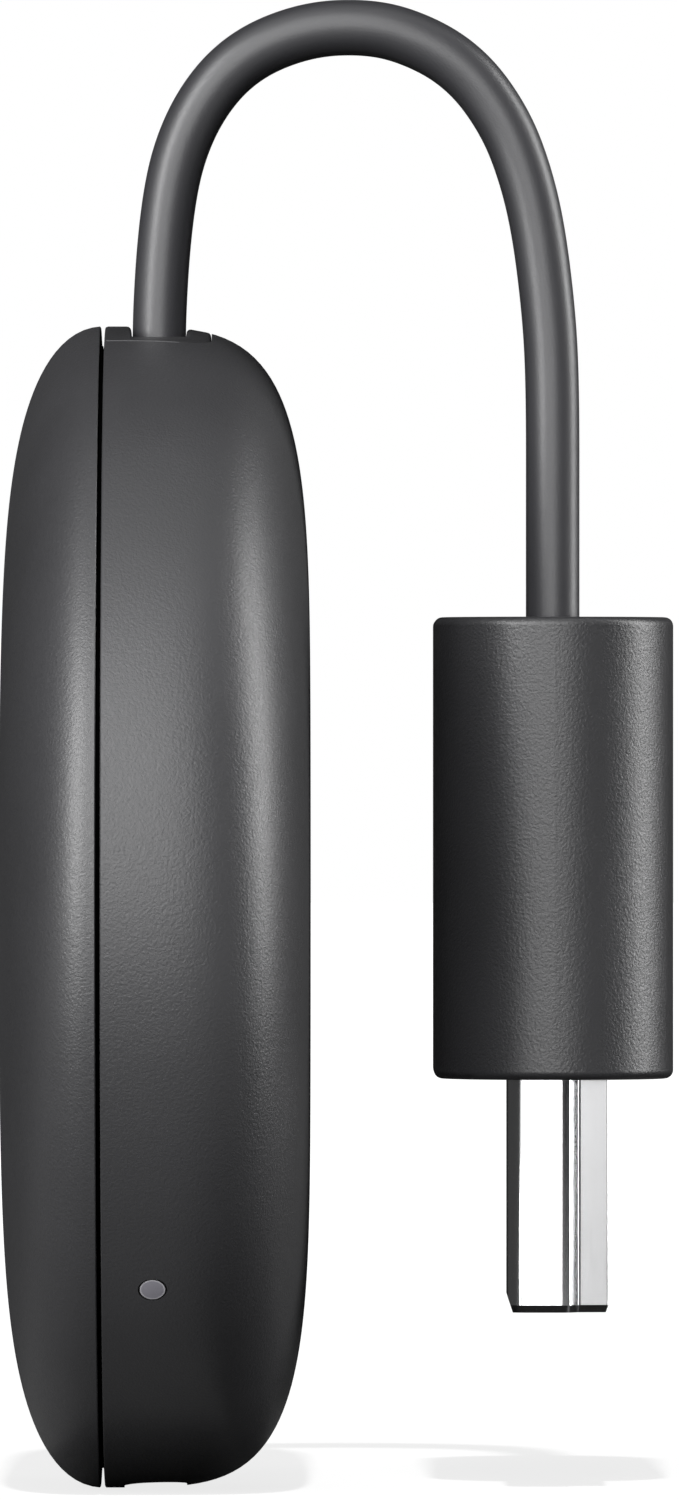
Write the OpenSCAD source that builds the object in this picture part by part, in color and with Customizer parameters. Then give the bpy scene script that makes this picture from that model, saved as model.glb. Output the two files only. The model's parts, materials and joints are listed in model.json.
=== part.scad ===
// Round streaming puck that stands on its rim, with a short flat video lead and its plug.
// Millimetres, +Z up. The origin is the lowest point of the rim, halfway through the case.
// The case axis runs along X: the front cover faces -X and the rear shell faces +X.

/* [Case] */
// Diameter of the round case
case_d = 51.8; // [51:0.2:58]
// Depth of the front cover, from the seam to its face
cover_depth = 4.55; // [4.4:0.05:6]
// Depth of the rear shell, from the seam to its face
shell_depth = 9.25; // [9:0.05:12]
// Wall behind the two round faces
face_wall = 1.2; // [1:0.05:1.3]
// Wall at the rim, where the two halves meet
rim_wall = 1.8; // [1.6:0.05:1.9]
// Radius of the truly flat middle of each face
flat_r = 10; // [6:0.5:12]

/* [Seam] */
// Width of the seam groove at the rim
seam_w = 0.2; // [0.1:0.02:0.3]
// Depth of the seam groove
seam_deep = 0.87; // [0.5:0.01:1]
// Small bevel that breaks the rim edges beside the groove
rim_edge = 0.12; // [0.05:0.01:0.15]
// Thickness of the cover's inner lip
lip_t = 0.6; // [0.5:0.05:0.7]
// How far the lip reaches into the rear shell
lip_reach = 1.2; // [0.9:0.05:1.3]
// How far a snap hook stands out from the lip
hook_proud = 0.35; // [0.2:0.05:0.4]
// Play between pieces that slide together
fit_gap = 0.05; // [0.03:0.01:0.08]

/* [Board] */
// Room between the edge of the round circuit board and the rim wall
board_gap = 1.8; // [1.7:0.1:2.3]
// Thickness of the circuit board
board_t = 1; // [0.8:0.05:1.2]
// Gap between the seam plane and the front face of the board
board_lift = 0.1; // [0:0.05:0.3]
// Distance of the board screws from the edge of the board
boss_inset = 3.3; // [3.1:0.1:3.9]
// Outer diameter of a screw boss
boss_d = 3.8; // [3.4:0.1:4]
// Thread diameter of the small screws
screw_d = 1.6; // [1.4:0.1:1.8]
// Thread length of the board screws
screw_l = 4.5; // [3:0.1:5]
// Diameter of the screw heads
screw_head_d = 2.8; // [2.4:0.1:3]
// Height of the screw heads
screw_head_h = 0.7; // [0.5:0.05:0.8]
// Width of the square processor
soc_w = 13; // [11:0.5:13.5]
// Short side of a memory chip
memory_w = 6; // [5:0.1:6.2]
// Long side of a memory chip
memory_l = 11; // [9:0.5:12]
// Height of a packaged chip
chip_h = 0.9; // [0.7:0.05:1.1]
// Short side of the flash chip
flash_w = 8; // [7:0.5:9]
// Long side of the flash chip
flash_l = 11.5; // [10:0.5:12]
// Width of the square radio chip
radio_w = 7; // [6:0.5:8]
// Width of the square power chip
power_w = 5; // [4:0.5:6]
// Gap between neighbouring chips
chip_gap = 1; // [0.8:0.1:1.2]
// Width of a square power inductor
inductor_w = 2.6; // [2:0.1:3]
// Height of a power inductor
inductor_h = 1.2; // [1:0.1:1.5]
// Length of a small capacitor
cap_l = 1; // [0.8:0.1:1.2]
// Width and height of a small capacitor
cap_w = 0.5; // [0.4:0.05:0.6]
// Length of a crystal can
crystal_l = 3.2; // [2.5:0.1:3.6]
// Width of a crystal can
crystal_w = 2.5; // [2:0.1:2.8]
// Height of a crystal can
crystal_h = 0.7; // [0.5:0.05:0.9]
// Height of a folded antenna over the board
antenna_h = 2.6; // [2:0.1:3]
// Distance of the antennas from the edge of the board
antenna_inset = 1; // [0.8:0.05:1.2]

/* [Shields and heat path] */
// Sheet thickness of the shields, the clamp and the antennas
sheet_t = 0.2; // [0.15:0.01:0.25]
// Width of a shield, along the lead's direction
shield_w = 16; // [15:0.5:16.5]
// Height of the shield on the front face of the board
front_shield_h = 1.5; // [1.4:0.05:1.6]
// Height of the shield on the rear face of the board
rear_shield_h = 2; // [1.8:0.05:2.2]
// Thickness of the front heat spreader
front_spreader_t = 0.8; // [0.6:0.05:1]
// Room between the front heat spreader and the circle of screw bosses
spreader_gap = 1.6; // [1.5:0.1:3]
// Air between the front heat spreader and the cover
spreader_air = 0.25; // [0.2:0.05:0.3]
// Thickness of the rear heat spreader's plate
rear_spreader_t = 1; // [0.8:0.05:1.2]
// Height of the posts that hold the rear heat spreader off the shell
post_h = 1.3; // [1:0.05:1.5]
// Diameter of those posts
post_d = 3; // [2.6:0.1:3.2]
// Diameter of the pin on each post
pin_d = 1.2; // [1:0.05:1.4]
// Thickness of the soft pad behind the rear shield
rear_pad_t = 0.7; // [0.5:0.05:0.9]
// Width of the square pads and of the rear spreader's pedestal
pad_w = 14; // [12:0.5:15]

/* [Power socket] */
// Width of the socket's metal shell
socket_w = 7.5; // [7.4:0.05:7.6]
// Height of the socket's metal shell
socket_h = 2.5; // [2.45:0.05:2.6]
// Length of the socket's metal shell
socket_l = 5.1; // [4.8:0.1:5.3]
// Wall of the socket's metal shell
socket_wall = 0.3; // [0.25:0.01:0.35]
// How far the lower corners of the socket are cut away
socket_corner = 0.8; // [0.6:0.05:0.9]
// Depth of the socket's mouth below the rim
socket_sink = 0.9; // [0.7:0.05:1.2]
// Thickness of the socket's plastic tongue
tongue_t = 0.6; // [0.5:0.02:0.7]
// Width of the socket's plastic tongue
tongue_w = 4.2; // [3.8:0.1:4.4]
// Spacing of the socket's five contacts
socket_pitch = 0.65; // [0.6:0.01:0.7]
// Play of the rim opening around the socket
port_gap = 0.15; // [0.1:0.01:0.2]

/* [Status light and reset button] */
// Angle of the light and the button from the lowest rim point
side_angle = 49.5; // [46:0.5:56]
// Diameter of the light pipe's round end
lens_d = 1.18; // [1:0.02:1.3]
// Play around the light pipe in its hole
lens_gap = 0.05; // [0.03:0.01:0.07]
// Diameter of the reset button
button_d = 2.2; // [2:0.05:2.3]
// Play around the reset button in its hole
button_gap = 0.1; // [0.06:0.01:0.15]
// Inward travel of the reset button
button_travel = 0.3; // [0.2:0.02:0.35]
// Width of the side-push switch
switch_w = 3.5; // [3:0.1:3.8]
// Depth of the side-push switch, along the push
switch_deep = 1.9; // [1.7:0.05:2.2]
// Height of the side-push switch
switch_h = 2.2; // [2:0.05:2.5]
// Diameter of the switch's plunger
plunger_d = 1; // [0.8:0.05:1.2]

/* [Collar] */
// Length of the collar along the rim
collar_l = 12.4; // [11.5:0.1:13]
// Width of the collar from the seam
collar_w = 4.85; // [4.7:0.05:5.1]
// Corner radius of the collar
collar_r = 1.8; // [1:0.1:2.2]
// Parting line between the collar and the shell
collar_gap = 0.04; // [0.02:0.01:0.06]
// Depth of the small pocket that the lead comes out of
pocket_deep = 0.3; // [0.2:0.02:0.4]
// Margin of that pocket around the lead
pocket_margin = 0.14; // [0.1:0.01:0.2]

/* [Lead] */
// Width of the flat lead
lead_w = 6.8; // [6.4:0.1:7.2]
// Thickness of the flat lead
lead_t = 2.35; // [2.1:0.05:2.5]
// Gap between the lead and the board under it
lead_lift = 0.225; // [0.1:0.025:0.3]
// Diameter of one insulated wire in the lead
wire_d = 0.42; // [0.36:0.01:0.44]

/* [Plug housing] */
// Thickness of the plug's housing
housing_t = 10.65; // [10.4:0.05:12]
// Width of the plug's housing
housing_w = 19.8; // [19.4:0.1:22]
// Length of the plug's housing
housing_l = 20.5; // [20:0.1:24]
// Corner radius of the housing's cross-section
housing_r = 5; // [4:0.1:5.1]
// Rounding of the housing's end edges
housing_edge = 0.55; // [0.3:0.05:0.9]
// Wall of the housing
housing_wall = 1.4; // [1.2:0.05:1.6]
// Thickness of the housing's end walls
end_wall = 2.5; // [2:0.1:2.8]

/* [Plug contacts] */
// Thickness of the plug's metal shell
plug_t = 4.45; // [4.4:0.01:4.55]
// Width of the plug's metal shell on its wide side
plug_w = 13.9; // [13.8:0.01:14]
// Width of the metal shell on its narrow side
plug_narrow_w = 11.9; // [11.7:0.01:12.1]
// Height of the straight side wall, from the wide side
plug_side_h = 2.45; // [2.3:0.01:2.6]
// Height where the sloping shoulder ends
plug_shoulder_h = 3.2; // [3.1:0.01:3.4]
// Length of metal outside the housing
plug_out = 10.4; // [10:0.1:11]
// Length of metal inside the housing
plug_in = 6; // [5:0.1:6.5]
// Wall of the plug's metal shell
plug_wall = 0.3; // [0.25:0.01:0.35]
// Corner radius on the wide side
plug_wide_r = 0.58; // [0.5:0.01:0.65]
// Corner radius on the narrow side
plug_narrow_r = 0.36; // [0.33:0.01:0.4]
// Offset of the metal shell from the housing's middle
plug_offset = 0.2; // [0:0.02:0.3]
// Height of the slot between the two rows of contacts
slot_h = 1.8; // [1.7:0.02:1.9]
// Width of that slot
slot_w = 10.8; // [10.6:0.05:11]
// Distance of the insulator's mouth from the metal tip
mouth_sink = 0.7; // [0.5:0.05:1]
// Spacing of the contacts in a row
contact_pitch = 1; // [0.95:0.01:1.05]
// Width of a contact
contact_w = 0.45; // [0.4:0.01:0.5]
// Thickness of a contact
contact_t = 0.25; // [0.2:0.01:0.3]

/* [Hidden] */
$fn = 96;

// Overrun of every cut past the face that it opens
overrun = 0.5;
// Small step: how far fused pieces run into each other and where neighbours keep apart
bite = 0.3;

case_r = case_d / 2;
case_t = cover_depth + shell_depth;
rim_in_r = case_r - rim_wall;
// Exponents of each half's rounded outline, along the case axis and across it
cover_powers = [2.1, 5];
shell_powers = [4.1, 5.8];
bowl_steps = 30;

// Heights along the case axis, from the middle of the case, positive towards the rear
seam_z = cover_depth - case_t / 2;
board_front_z = seam_z + board_lift;
board_rear_z = board_front_z + board_t;
port_z = board_rear_z + socket_h / 2;
lead_z = board_rear_z + lead_lift + lead_t / 2;
cover_in_z = seam_z - cover_depth + face_wall;
shell_in_z = seam_z + shell_depth - face_wall;

// Front stack: board, shield, pad, spreader
front_lid_z = board_front_z - front_shield_h;
front_spreader_z = cover_in_z + spreader_air + front_spreader_t;
front_pad_t = front_lid_z - sheet_t - front_spreader_z;
// Rear stack: board, shield, pad, spreader
rear_lid_z = board_rear_z + rear_shield_h;
rear_plate_z = shell_in_z - post_h - rear_spreader_t;
rear_pad_z = rear_lid_z + sheet_t;

// The shields take in the processor with a memory chip on each side
shield_l = soc_w + 2 * memory_w + 4 * chip_gap + 2 * sheet_t;

lip_out_r = rim_in_r - fit_gap;
lip_in_r = lip_out_r - lip_t;
board_r = rim_in_r - board_gap;
antenna_r = board_r - antenna_inset;
// Screws on a ring: two beside the row of power inductors and two beside the shields
inductor_pitch = inductor_w + chip_gap;
inductor_count = 4;
boss_ring_r = board_r - boss_inset;
low_boss_y = (inductor_count * inductor_pitch - chip_gap + boss_d) / 2 + fit_gap;
high_boss_x = (shield_w + boss_d) / 2 + chip_gap;
high_boss_y = sqrt(pow(boss_ring_r, 2) - pow(high_boss_x, 2));
boss_angles = [for (side = [-1, 1])
    each [side * asin(low_boss_y / boss_ring_r), side * (180 - acos(high_boss_x / boss_ring_r))]];
// Place of a crystal, as a share of the way from the middle to the nearest screw head
crystal_share = 0.585;
post_angles = [0, 90, 180, 270];
post_ring_share = 0.8;
front_spreader_r = boss_ring_r - boss_d / 2 - spreader_gap;
rear_spreader_r = boss_ring_r - boss_d / 2 - bite;
post_ring_r = rear_spreader_r * post_ring_share;
hook_angles = [75, 150, 210, 285];
hook_arc = 9;
// Heights of a hook's flat side and of the end of its ramp, as shares of the lip's reach
hook_shares = [0.25, 0.8];
// Place of the antennas, and their length and that of their two legs, in degrees
antenna_angle = 130;
antenna_arc = 40;
antenna_leg_arc = 4;
// Cross recess in a screw head, as shares of the head's diameter and height
recess_shares = [0.6, 0.16, 0.45];

// Flat side of the board where the power socket stands over its edge; the tongue and its
// contacts are set off from the socket's middle
board_flat_share = 0.6;
board_flat_x = case_r - socket_sink - socket_l * board_flat_share;
socket_x = case_r - socket_sink - socket_l;
tongue_base_l = socket_l / 4;
tongue_x = -socket_h / 8;
tongue_share = 0.8;
leaf_t = tongue_t / 4;
leaf_share = 0.45;

// The switch and the light stand at the edge of the board, and the button's flange at the wall
edge_part_r = board_r - bite * 2;
switch_r = edge_part_r - switch_deep;
plunger_proud = 0.75;
flange_t = 0.5;
flange_l = 4.2;
flange_w = 1.9;
flange_drop = rim_in_r - sqrt(pow(rim_in_r, 2) - pow(flange_l / 2, 2));
flange_r = rim_in_r - flange_drop - fit_gap;
stem_d = 1.4;
led_l = 1.8;
led_deep = 0.9;
led_h = 1.6;
pipe_block_l = 2;
pipe_block_h = 1.8;

// How far the collar's inner flange grips past its opening
collar_grip = 0.5;
// Where the lead leaves the collar, in the standing frame
exit_x = lead_z;
exit_z = case_d - pocket_deep;
// The lead's route as steps [right, up] from where it leaves the collar
lead_route = [
    [0, -7], [0, -5], [0, -2.5], [0, 0], [0.05, 1.5], [0.15, 3.2], [0.3, 4.8], [0.5, 6.25],
    [0.8, 7.65], [1.3, 9.05], [2, 10.35], [2.95, 11.55], [4.15, 12.5], [5.55, 13.15],
    [7.05, 13.55], [8.6, 13.65], [10.15, 13.5], [11.6, 13.0], [12.9, 12.3], [14.05, 11.3],
    [14.95, 10.1], [15.65, 8.85], [16.15, 7.55], [16.55, 6.2], [16.85, 4.8], [17.1, 3.2],
    [17.35, 1], [17.5, -1.2], [17.55, -4], [17.55, -7], [17.55, -10], [17.55, -12.7],
    [17.55, -18.1]
];
route_last = len(lead_route) - 1;
// The lead goes this far into the plug's housing
lead_into_plug = lead_route[route_last - 1][1] - lead_route[route_last][1];
lead_end_x = case_r - exit_z - lead_route[0][1];

// Strap that clamps the lead's end to the board, and the wires that leave it
clamp_l = 2.4;
clamp_foot = 2.2;
clamp_x = lead_end_x - bite - clamp_l;
clamp_screw_l = 0.9;
wire_row_gap = 0.9;
wire_pitch = 0.6;
pad_pitch = 0.72;
wire_fan_l = 2.4;
wire_rest_share = 0.6;

// Plug frame: the middle of the housing's top face, in the standing frame
plug_x = exit_x + lead_route[route_last - 1][0];
plug_top_z = exit_z + lead_route[route_last - 1][1];
cavity_t = housing_t - 2 * housing_wall;
cavity_w = housing_w - 2 * housing_wall;
cavity_r = housing_r - housing_wall;
// Play of moulded-in pieces
mould_gap = 0.04;
can_wall = 0.25;
can_in_t = plug_t + 2 * fit_gap;
can_in_w = plug_w + 2 * fit_gap;
can_top = 5.5;
can_bottom = housing_l - plug_in / 2;
insulator_back = housing_l - plug_in - fit_gap;
// Contacts in both rows together, one for each wire of the lead
contact_count = 19;
tail_l = 1.5;
crimp_l = 2.3;
crimp_t = 0.3;
// Spacing of the wires at the end of the jacket inside the plug
inner_pitch = 0.62;

function reverse(list) = [for (i = [len(list) - 1 : -1 : 0]) list[i]];
function unit(v) = v / norm(v);

// Half outline of a bowl from the middle of its face to its rim, as [radius, height] points
function bowl(radius, depth, powers, lowest) = concat(
    [[0, depth], [flat_r, depth]],
    [for (i = [0 : bowl_steps])
        let (
            a = 90 * (1 - i / bowl_steps),
            r = radius * pow(cos(a), 2 / powers[1]),
            z = depth * pow(sin(a), 2 / powers[0])
        )
        if (r > flat_r + rim_edge && z > lowest) [r, z]]
);

// Outside of a case half down to the bottom of the seam groove
function outside(depth, powers) = concat(
    bowl(case_r, depth, powers, seam_w / 2 + rim_edge),
    [
        [case_r, seam_w / 2 + rim_edge],
        [case_r - rim_edge, seam_w / 2],
        [case_r - seam_deep, seam_w / 4],
        [case_r - seam_deep, 0]
    ]
);

// Points of an arc that rounds the corner p between the points before and after it
function corner(before, p, after, r, steps) =
    let (
        a = unit(before - p),
        b = unit(after - p),
        half = acos(a * b) / 2,
        middle = p + unit(a + b) * r / sin(half),
        from = p + a * r / tan(half) - middle,
        to = p + b * r / tan(half) - middle,
        start = atan2(from[1], from[0]),
        turn = (atan2(to[1], to[0]) - start + 540) % 360 - 180
    )
    [for (i = [0 : steps])
        let (angle = start + turn * i / steps)
        middle + r * [cos(angle), sin(angle)]];

// Closed outline with every corner rounded by its own radius
function rounded(points, radii, steps = 5) =
    let (n = len(points))
    [for (i = [0 : n - 1])
        each corner(points[(i + n - 1) % n], points[i], points[(i + 1) % n], radii[i], steps)];

// Outline of the plug's metal shell, moved in by inset
function plug_outline(inset) =
    let (
        wide = plug_w / 2 - inset,
        narrow = plug_narrow_w / 2 - inset,
        low = -plug_t / 2 + inset,
        side = -plug_t / 2 + plug_side_h - inset / 2,
        shoulder = -plug_t / 2 + plug_shoulder_h - inset / 2,
        high = plug_t / 2 - inset,
        wide_r = max(plug_wide_r - inset, plug_wide_r / 2),
        narrow_r = max(plug_narrow_r - inset, plug_narrow_r / 2)
    )
    rounded(
        [[low, wide], [side, wide], [shoulder, narrow], [high, narrow],
         [high, -narrow], [shoulder, -narrow], [side, -wide], [low, -wide]],
        [wide_r, narrow_r, narrow_r, narrow_r, narrow_r, narrow_r, narrow_r, wide_r]
    );

// Lays a piece drawn with its axis along Z, lowest rim point on +X, into the standing frame
module stand() {
    translate([0, 0, case_r])
        rotate([0, 90, 0])
            children();
}

// Turns a piece drawn along +Z so that it points outwards through the rim at an angle
module at_rim(angle, z) {
    translate([0, 0, z])
        rotate([0, 0, angle])
            rotate([0, 90, 0])
                children();
}

// Piece of the plug, drawn downwards from the middle of the housing's top face
module at_plug() {
    translate([plug_x, 0, plug_top_z])
        children();
}

module flat_oval(thick, wide) {
    square([thick, wide - thick], center = true);
    for (side = [-1, 1])
        translate([0, side * (wide - thick) / 2])
            circle(d = thick);
}

module soft_rectangle(thick, wide, r) {
    square([thick - 2 * r, wide], center = true);
    square([thick, wide - 2 * r], center = true);
    for (sx = [-1, 1], sy = [-1, 1])
        translate([sx * (thick / 2 - r), sy * (wide / 2 - r)])
            circle(r);
}

// Block centred on a point in X and Y and standing on the height z
module chip(size, x, y, z) {
    translate([x - size[0] / 2, y - size[1] / 2, z])
        cube(size);
}

module tube(outer_r, inner_r, low, high) {
    translate([0, 0, low])
        difference() {
            cylinder(r = outer_r, h = high - low);
            translate([0, 0, -overrun])
                cylinder(r = inner_r, h = high - low + 2 * overrun);
        }
}

// Straight round rod between two points
module rod(from, to, d) {
    reach = to - from;
    turn = atan2(reach[1], reach[0]);
    tip = acos(reach[2] / norm(reach));
    translate(from)
        rotate([0, tip, turn])
            cylinder(d = d, h = norm(reach));
}

module case_wall_of(depth, powers) {
    rotate_extrude()
        polygon(concat(
            outside(depth, powers),
            reverse(concat(bowl(rim_in_r, depth - face_wall, powers, 0), [[rim_in_r, 0]]))
        ));
}

// The whole half as a solid, down to the seam plane
module case_solid(depth, powers) {
    rotate_extrude()
        polygon(concat(outside(depth, powers), [[0, 0]]));
}

// Solid that ends in the middle of the wall, which trims posts to the inside of a half
module case_core(depth, powers) {
    rotate_extrude()
        polygon(concat(
            bowl(case_r - rim_wall / 2, depth - face_wall / 2, powers, 0),
            [[case_r - rim_wall / 2, 0], [0, 0]]
        ));
}

// Outline of the collar seen from above, grown by grow, in the plane across the rim
module collar_outline(grow) {
    low = seam_z - collar_w;
    high = seam_z + collar_w + grow;
    translate([-(low + high) / 2, 0])
        soft_rectangle(high - low, collar_l + 2 * grow, collar_r);
}

// Column that runs from the case axis out through the top of the rim
module top_column() {
    at_rim(180, 0)
        linear_extrude(case_r + overrun)
            children();
}

// Ramped hooks round the lip: slack widens them into the windows that they snap into
module hook_ring(proud, arc, slack) {
    low = lip_reach * hook_shares[0] - slack;
    high = lip_reach * hook_shares[1] + slack;
    for (angle = hook_angles)
        rotate([0, 0, angle - arc / 2])
            rotate_extrude(angle = arc)
                polygon([
                    [lip_out_r - bite, low],
                    [lip_out_r + proud, low],
                    [lip_out_r + proud, low + bite + 2 * slack],
                    [lip_out_r - bite, high]
                ]);
}

module front_cover() {
    color("#3b3b3e")
        stand()
            difference() {
                union() {
                    translate([0, 0, seam_z])
                        mirror([0, 0, 1])
                            case_wall_of(cover_depth, cover_powers);
                    translate([0, 0, seam_z])
                        cover_lip();
                }
                top_column()
                    lip_notch(collar_l + 4 * fit_gap);
                at_rim(0, 0)
                    linear_extrude(lip_out_r + fit_gap / 2)
                        lip_notch(socket_w + 4 * port_gap);
            }
}

// The inner lip with its snap hooks, drawn towards the rear from the seam plane
module cover_lip() {
    rotate_extrude()
        polygon([
            [lip_in_r, lip_reach],
            [lip_out_r, lip_reach],
            [lip_out_r, 0],
            [rim_in_r + bite, 0],
            [rim_in_r + bite, -lip_reach / 4],
            [lip_in_r, -lip_reach]
        ]);
    hook_ring(hook_proud, hook_arc, 0);
}

// Gap in the lip, as wide as wide, on the rear side of the seam plane
module lip_notch(wide) {
    translate([-seam_z - lip_reach / 2 - overrun / 2, 0])
        square([lip_reach + overrun, wide], center = true);
}

module rear_shell() {
    color("#38383b")
        stand()
            difference() {
                union() {
                    translate([0, 0, seam_z])
                        case_wall_of(shell_depth, shell_powers);
                    intersection() {
                        shell_posts();
                        translate([0, 0, seam_z])
                            case_core(shell_depth, shell_powers);
                    }
                }
                shell_openings();
                translate([0, 0, seam_z])
                    hook_ring(hook_proud + fit_gap, hook_arc + 1, fit_gap);
            }
}

module shell_posts() {
    for (angle = boss_angles)
        rotate([0, 0, angle])
            translate([boss_ring_r, 0, 0])
                tube(boss_d / 2, screw_d / 2 + fit_gap / 2, board_rear_z, seam_z + shell_depth);
    for (angle = post_angles)
        rotate([0, 0, angle])
            translate([post_ring_r, 0, rear_plate_z - bite]) {
                cylinder(d = pin_d, h = shell_depth);
                translate([0, 0, bite + rear_spreader_t])
                    cylinder(d = post_d, h = shell_depth);
            }
}

module shell_openings() {
    top_column()
        collar_outline(0);
    at_rim(0, port_z) {
        linear_extrude(case_r + overrun)
            flat_oval(socket_h + 2 * port_gap, socket_w + 4 * port_gap);
        chip([socket_h + 2 * port_gap, socket_w + 2 * port_gap, socket_x + socket_l + port_gap], 0, 0, 0);
    }
    at_rim(-side_angle, port_z)
        cylinder(d = lens_d + 2 * lens_gap, h = case_r + overrun);
    at_rim(side_angle, port_z)
        cylinder(d = button_d + 2 * button_gap, h = case_r + overrun);
}

module cable_collar() {
    flange_out_r = rim_in_r - bite * 3;
    flange_in_r = board_r + bite / 2;
    color("#333336")
        stand()
            difference() {
                union() {
                    intersection() {
                        translate([0, 0, seam_z])
                            case_solid(shell_depth, shell_powers);
                        top_column()
                            collar_outline(-collar_gap);
                    }
                    intersection() {
                        tube(flange_out_r, flange_in_r, board_rear_z + fit_gap, seam_z + collar_w + bite);
                        top_column()
                            collar_outline(collar_grip);
                    }
                }
                cylinder(r = flange_in_r, h = case_t, center = true);
                collar_passage();
            }
}

// Passage of the lead through the collar, with the shallow pocket at its outer end
module collar_passage() {
    at_rim(180, lead_z) {
        linear_extrude(case_r + overrun)
            flat_oval(lead_t + 2 * mould_gap, lead_w + 2 * mould_gap);
        translate([0, 0, exit_z - case_r])
            linear_extrude(pocket_deep + overrun)
                flat_oval(lead_t + 2 * pocket_margin, lead_w + 2 * pocket_margin);
    }
}

module main_board() {
    color("#1f5a3a")
        stand()
            translate([0, 0, board_front_z])
                difference() {
                    cylinder(r = board_r, h = board_t);
                    translate([board_flat_x, -board_r, -overrun])
                        cube([board_r, 2 * board_r, board_t + 2 * overrun]);
                    for (angle = boss_angles)
                        rotate([0, 0, angle])
                            translate([boss_ring_r, 0, -overrun])
                                cylinder(d = screw_d + 2 * fit_gap, h = board_t + 2 * overrun);
                    for (side = [-1, 1])
                        translate([clamp_x + clamp_l / 2, side * clamp_screw_y(), -overrun])
                            cylinder(d = screw_d + fit_gap, h = board_t + 2 * overrun);
                }
}

module board_screws() {
    color("#b9bcc0")
        stand()
            for (angle = boss_angles)
                rotate([0, 0, angle])
                    translate([boss_ring_r, 0, board_front_z])
                        small_screw(screw_l);
}

// Screw with its head below the height 0 and its thread above it
module small_screw(length) {
    recess = [screw_head_d * recess_shares[0], screw_head_d * recess_shares[1]];
    recess_h = screw_head_h * recess_shares[2];
    cylinder(d = screw_d, h = length);
    difference() {
        translate([0, 0, -screw_head_h])
            cylinder(d = screw_head_d, h = screw_head_h);
        for (turn = [0, 90])
            rotate([0, 0, turn])
                chip([recess[0], recess[1], recess_h + overrun], 0, 0, -screw_head_h - overrun);
    }
}

module soc_chip() {
    color("#26272a")
        stand()
            chip([soc_w, soc_w, chip_h], 0, 0, board_front_z - chip_h);
}

module soc_thermal_pad() {
    pad_h = front_shield_h - chip_h;
    color("#8fb7c9")
        stand()
            chip([soc_w - chip_gap, soc_w - chip_gap, pad_h], 0, 0, front_lid_z);
}

module memory_chip(side) {
    color("#222326")
        stand()
            chip([memory_l, memory_w, chip_h], 0, side * (soc_w + memory_w + 2 * chip_gap) / 2,
                board_front_z - chip_h);
}

module memory_chip_left() {
    memory_chip(-1);
}

module memory_chip_right() {
    memory_chip(1);
}

module flash_chip() {
    color("#28282b")
        stand()
            chip([flash_l, flash_w, chip_h], 0, -(power_w + flash_w) / 2 - chip_gap, board_rear_z);
}

module power_chip() {
    color("#2b2b2e")
        stand()
            chip([power_w, power_w, chip_h], 0, 0, board_rear_z);
}

module radio_chip() {
    color("#3c3d40")
        stand()
            chip([radio_w, radio_w, chip_h], 0, (power_w + radio_w) / 2 + chip_gap, board_rear_z);
}

module inductors() {
    color("#4b4744")
        stand()
            for (i = [0 : inductor_count - 1])
                chip([inductor_w, inductor_w, inductor_h], shield_w / 2 + chip_gap + inductor_w / 2,
                    (i - (inductor_count - 1) / 2) * inductor_pitch, board_rear_z);
}

module capacitors() {
    color("#b49a72")
        stand()
            for (side = [-1, 1], i = [0 : 5])
                chip([cap_w, cap_l, cap_w], (i - 2.5) * (cap_l + chip_gap / 2),
                    side * (shield_l / 2 + chip_gap), board_rear_z);
}

module crystals() {
    free_y = high_boss_y - (screw_head_d + crystal_l) / 2;
    color("#c9cbce")
        stand()
            for (side = [-1, 1])
                chip([crystal_w, crystal_l, crystal_h], -shield_w / 2 - chip_gap - crystal_w / 2,
                    side * free_y * crystal_share, board_front_z - crystal_h);
}

// Folded strip antenna that stands on its edge on the board, centred on an angle
module antenna(angle) {
    color("#c8b06a")
        stand()
            rotate([0, 0, angle - antenna_arc / 2])
                difference() {
                    band(antenna_arc, 0, antenna_h, 0);
                    rotate([0, 0, antenna_leg_arc])
                        band(antenna_leg_arc, -overrun, antenna_h / 2, overrun);
                    rotate([0, 0, 3 * antenna_leg_arc])
                        band(antenna_arc, -overrun, antenna_h / 2, overrun);
                }
}

// Curved strip on the antennas' radius, from the heights low to high over the board
module band(arc, low, high, grow) {
    rotate_extrude(angle = arc)
        translate([antenna_r - grow, board_rear_z + low])
            square([sheet_t + 2 * grow, high - low]);
}

module antenna_left() {
    antenna(-antenna_angle);
}

module antenna_right() {
    antenna(antenna_angle);
}

// Open sheet-metal fence on the board, from the height z up to z + h
module shield_frame(z, h) {
    difference() {
        chip([shield_w, shield_l, h], 0, 0, z);
        chip([shield_w - 2 * sheet_t, shield_l - 2 * sheet_t, h + 2 * overrun], 0, 0, z - overrun);
    }
}

module front_shield_frame() {
    color("#b4b6b8")
        stand()
            shield_frame(front_lid_z, front_shield_h);
}

module front_shield_lid() {
    color("#c4c6c8")
        stand()
            chip([shield_w, shield_l, sheet_t], 0, 0, front_lid_z - sheet_t);
}

module front_thermal_pad() {
    color("#9cc0cf")
        stand()
            chip([pad_w, pad_w, front_pad_t], 0, 0, front_spreader_z);
}

module front_heat_spreader() {
    color("#a3a5a8")
        stand()
            translate([0, 0, front_spreader_z - front_spreader_t])
                cylinder(r = front_spreader_r, h = front_spreader_t);
}

module rear_shield_frame() {
    color("#b4b6b8")
        stand()
            shield_frame(board_rear_z, rear_shield_h);
}

module rear_shield_lid() {
    color("#c4c6c8")
        stand()
            chip([shield_w, shield_l, sheet_t], 0, 0, rear_lid_z);
}

module rear_thermal_pad() {
    color("#9cc0cf")
        stand()
            chip([pad_w, pad_w, rear_pad_t], 0, 0, rear_pad_z);
}

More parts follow.
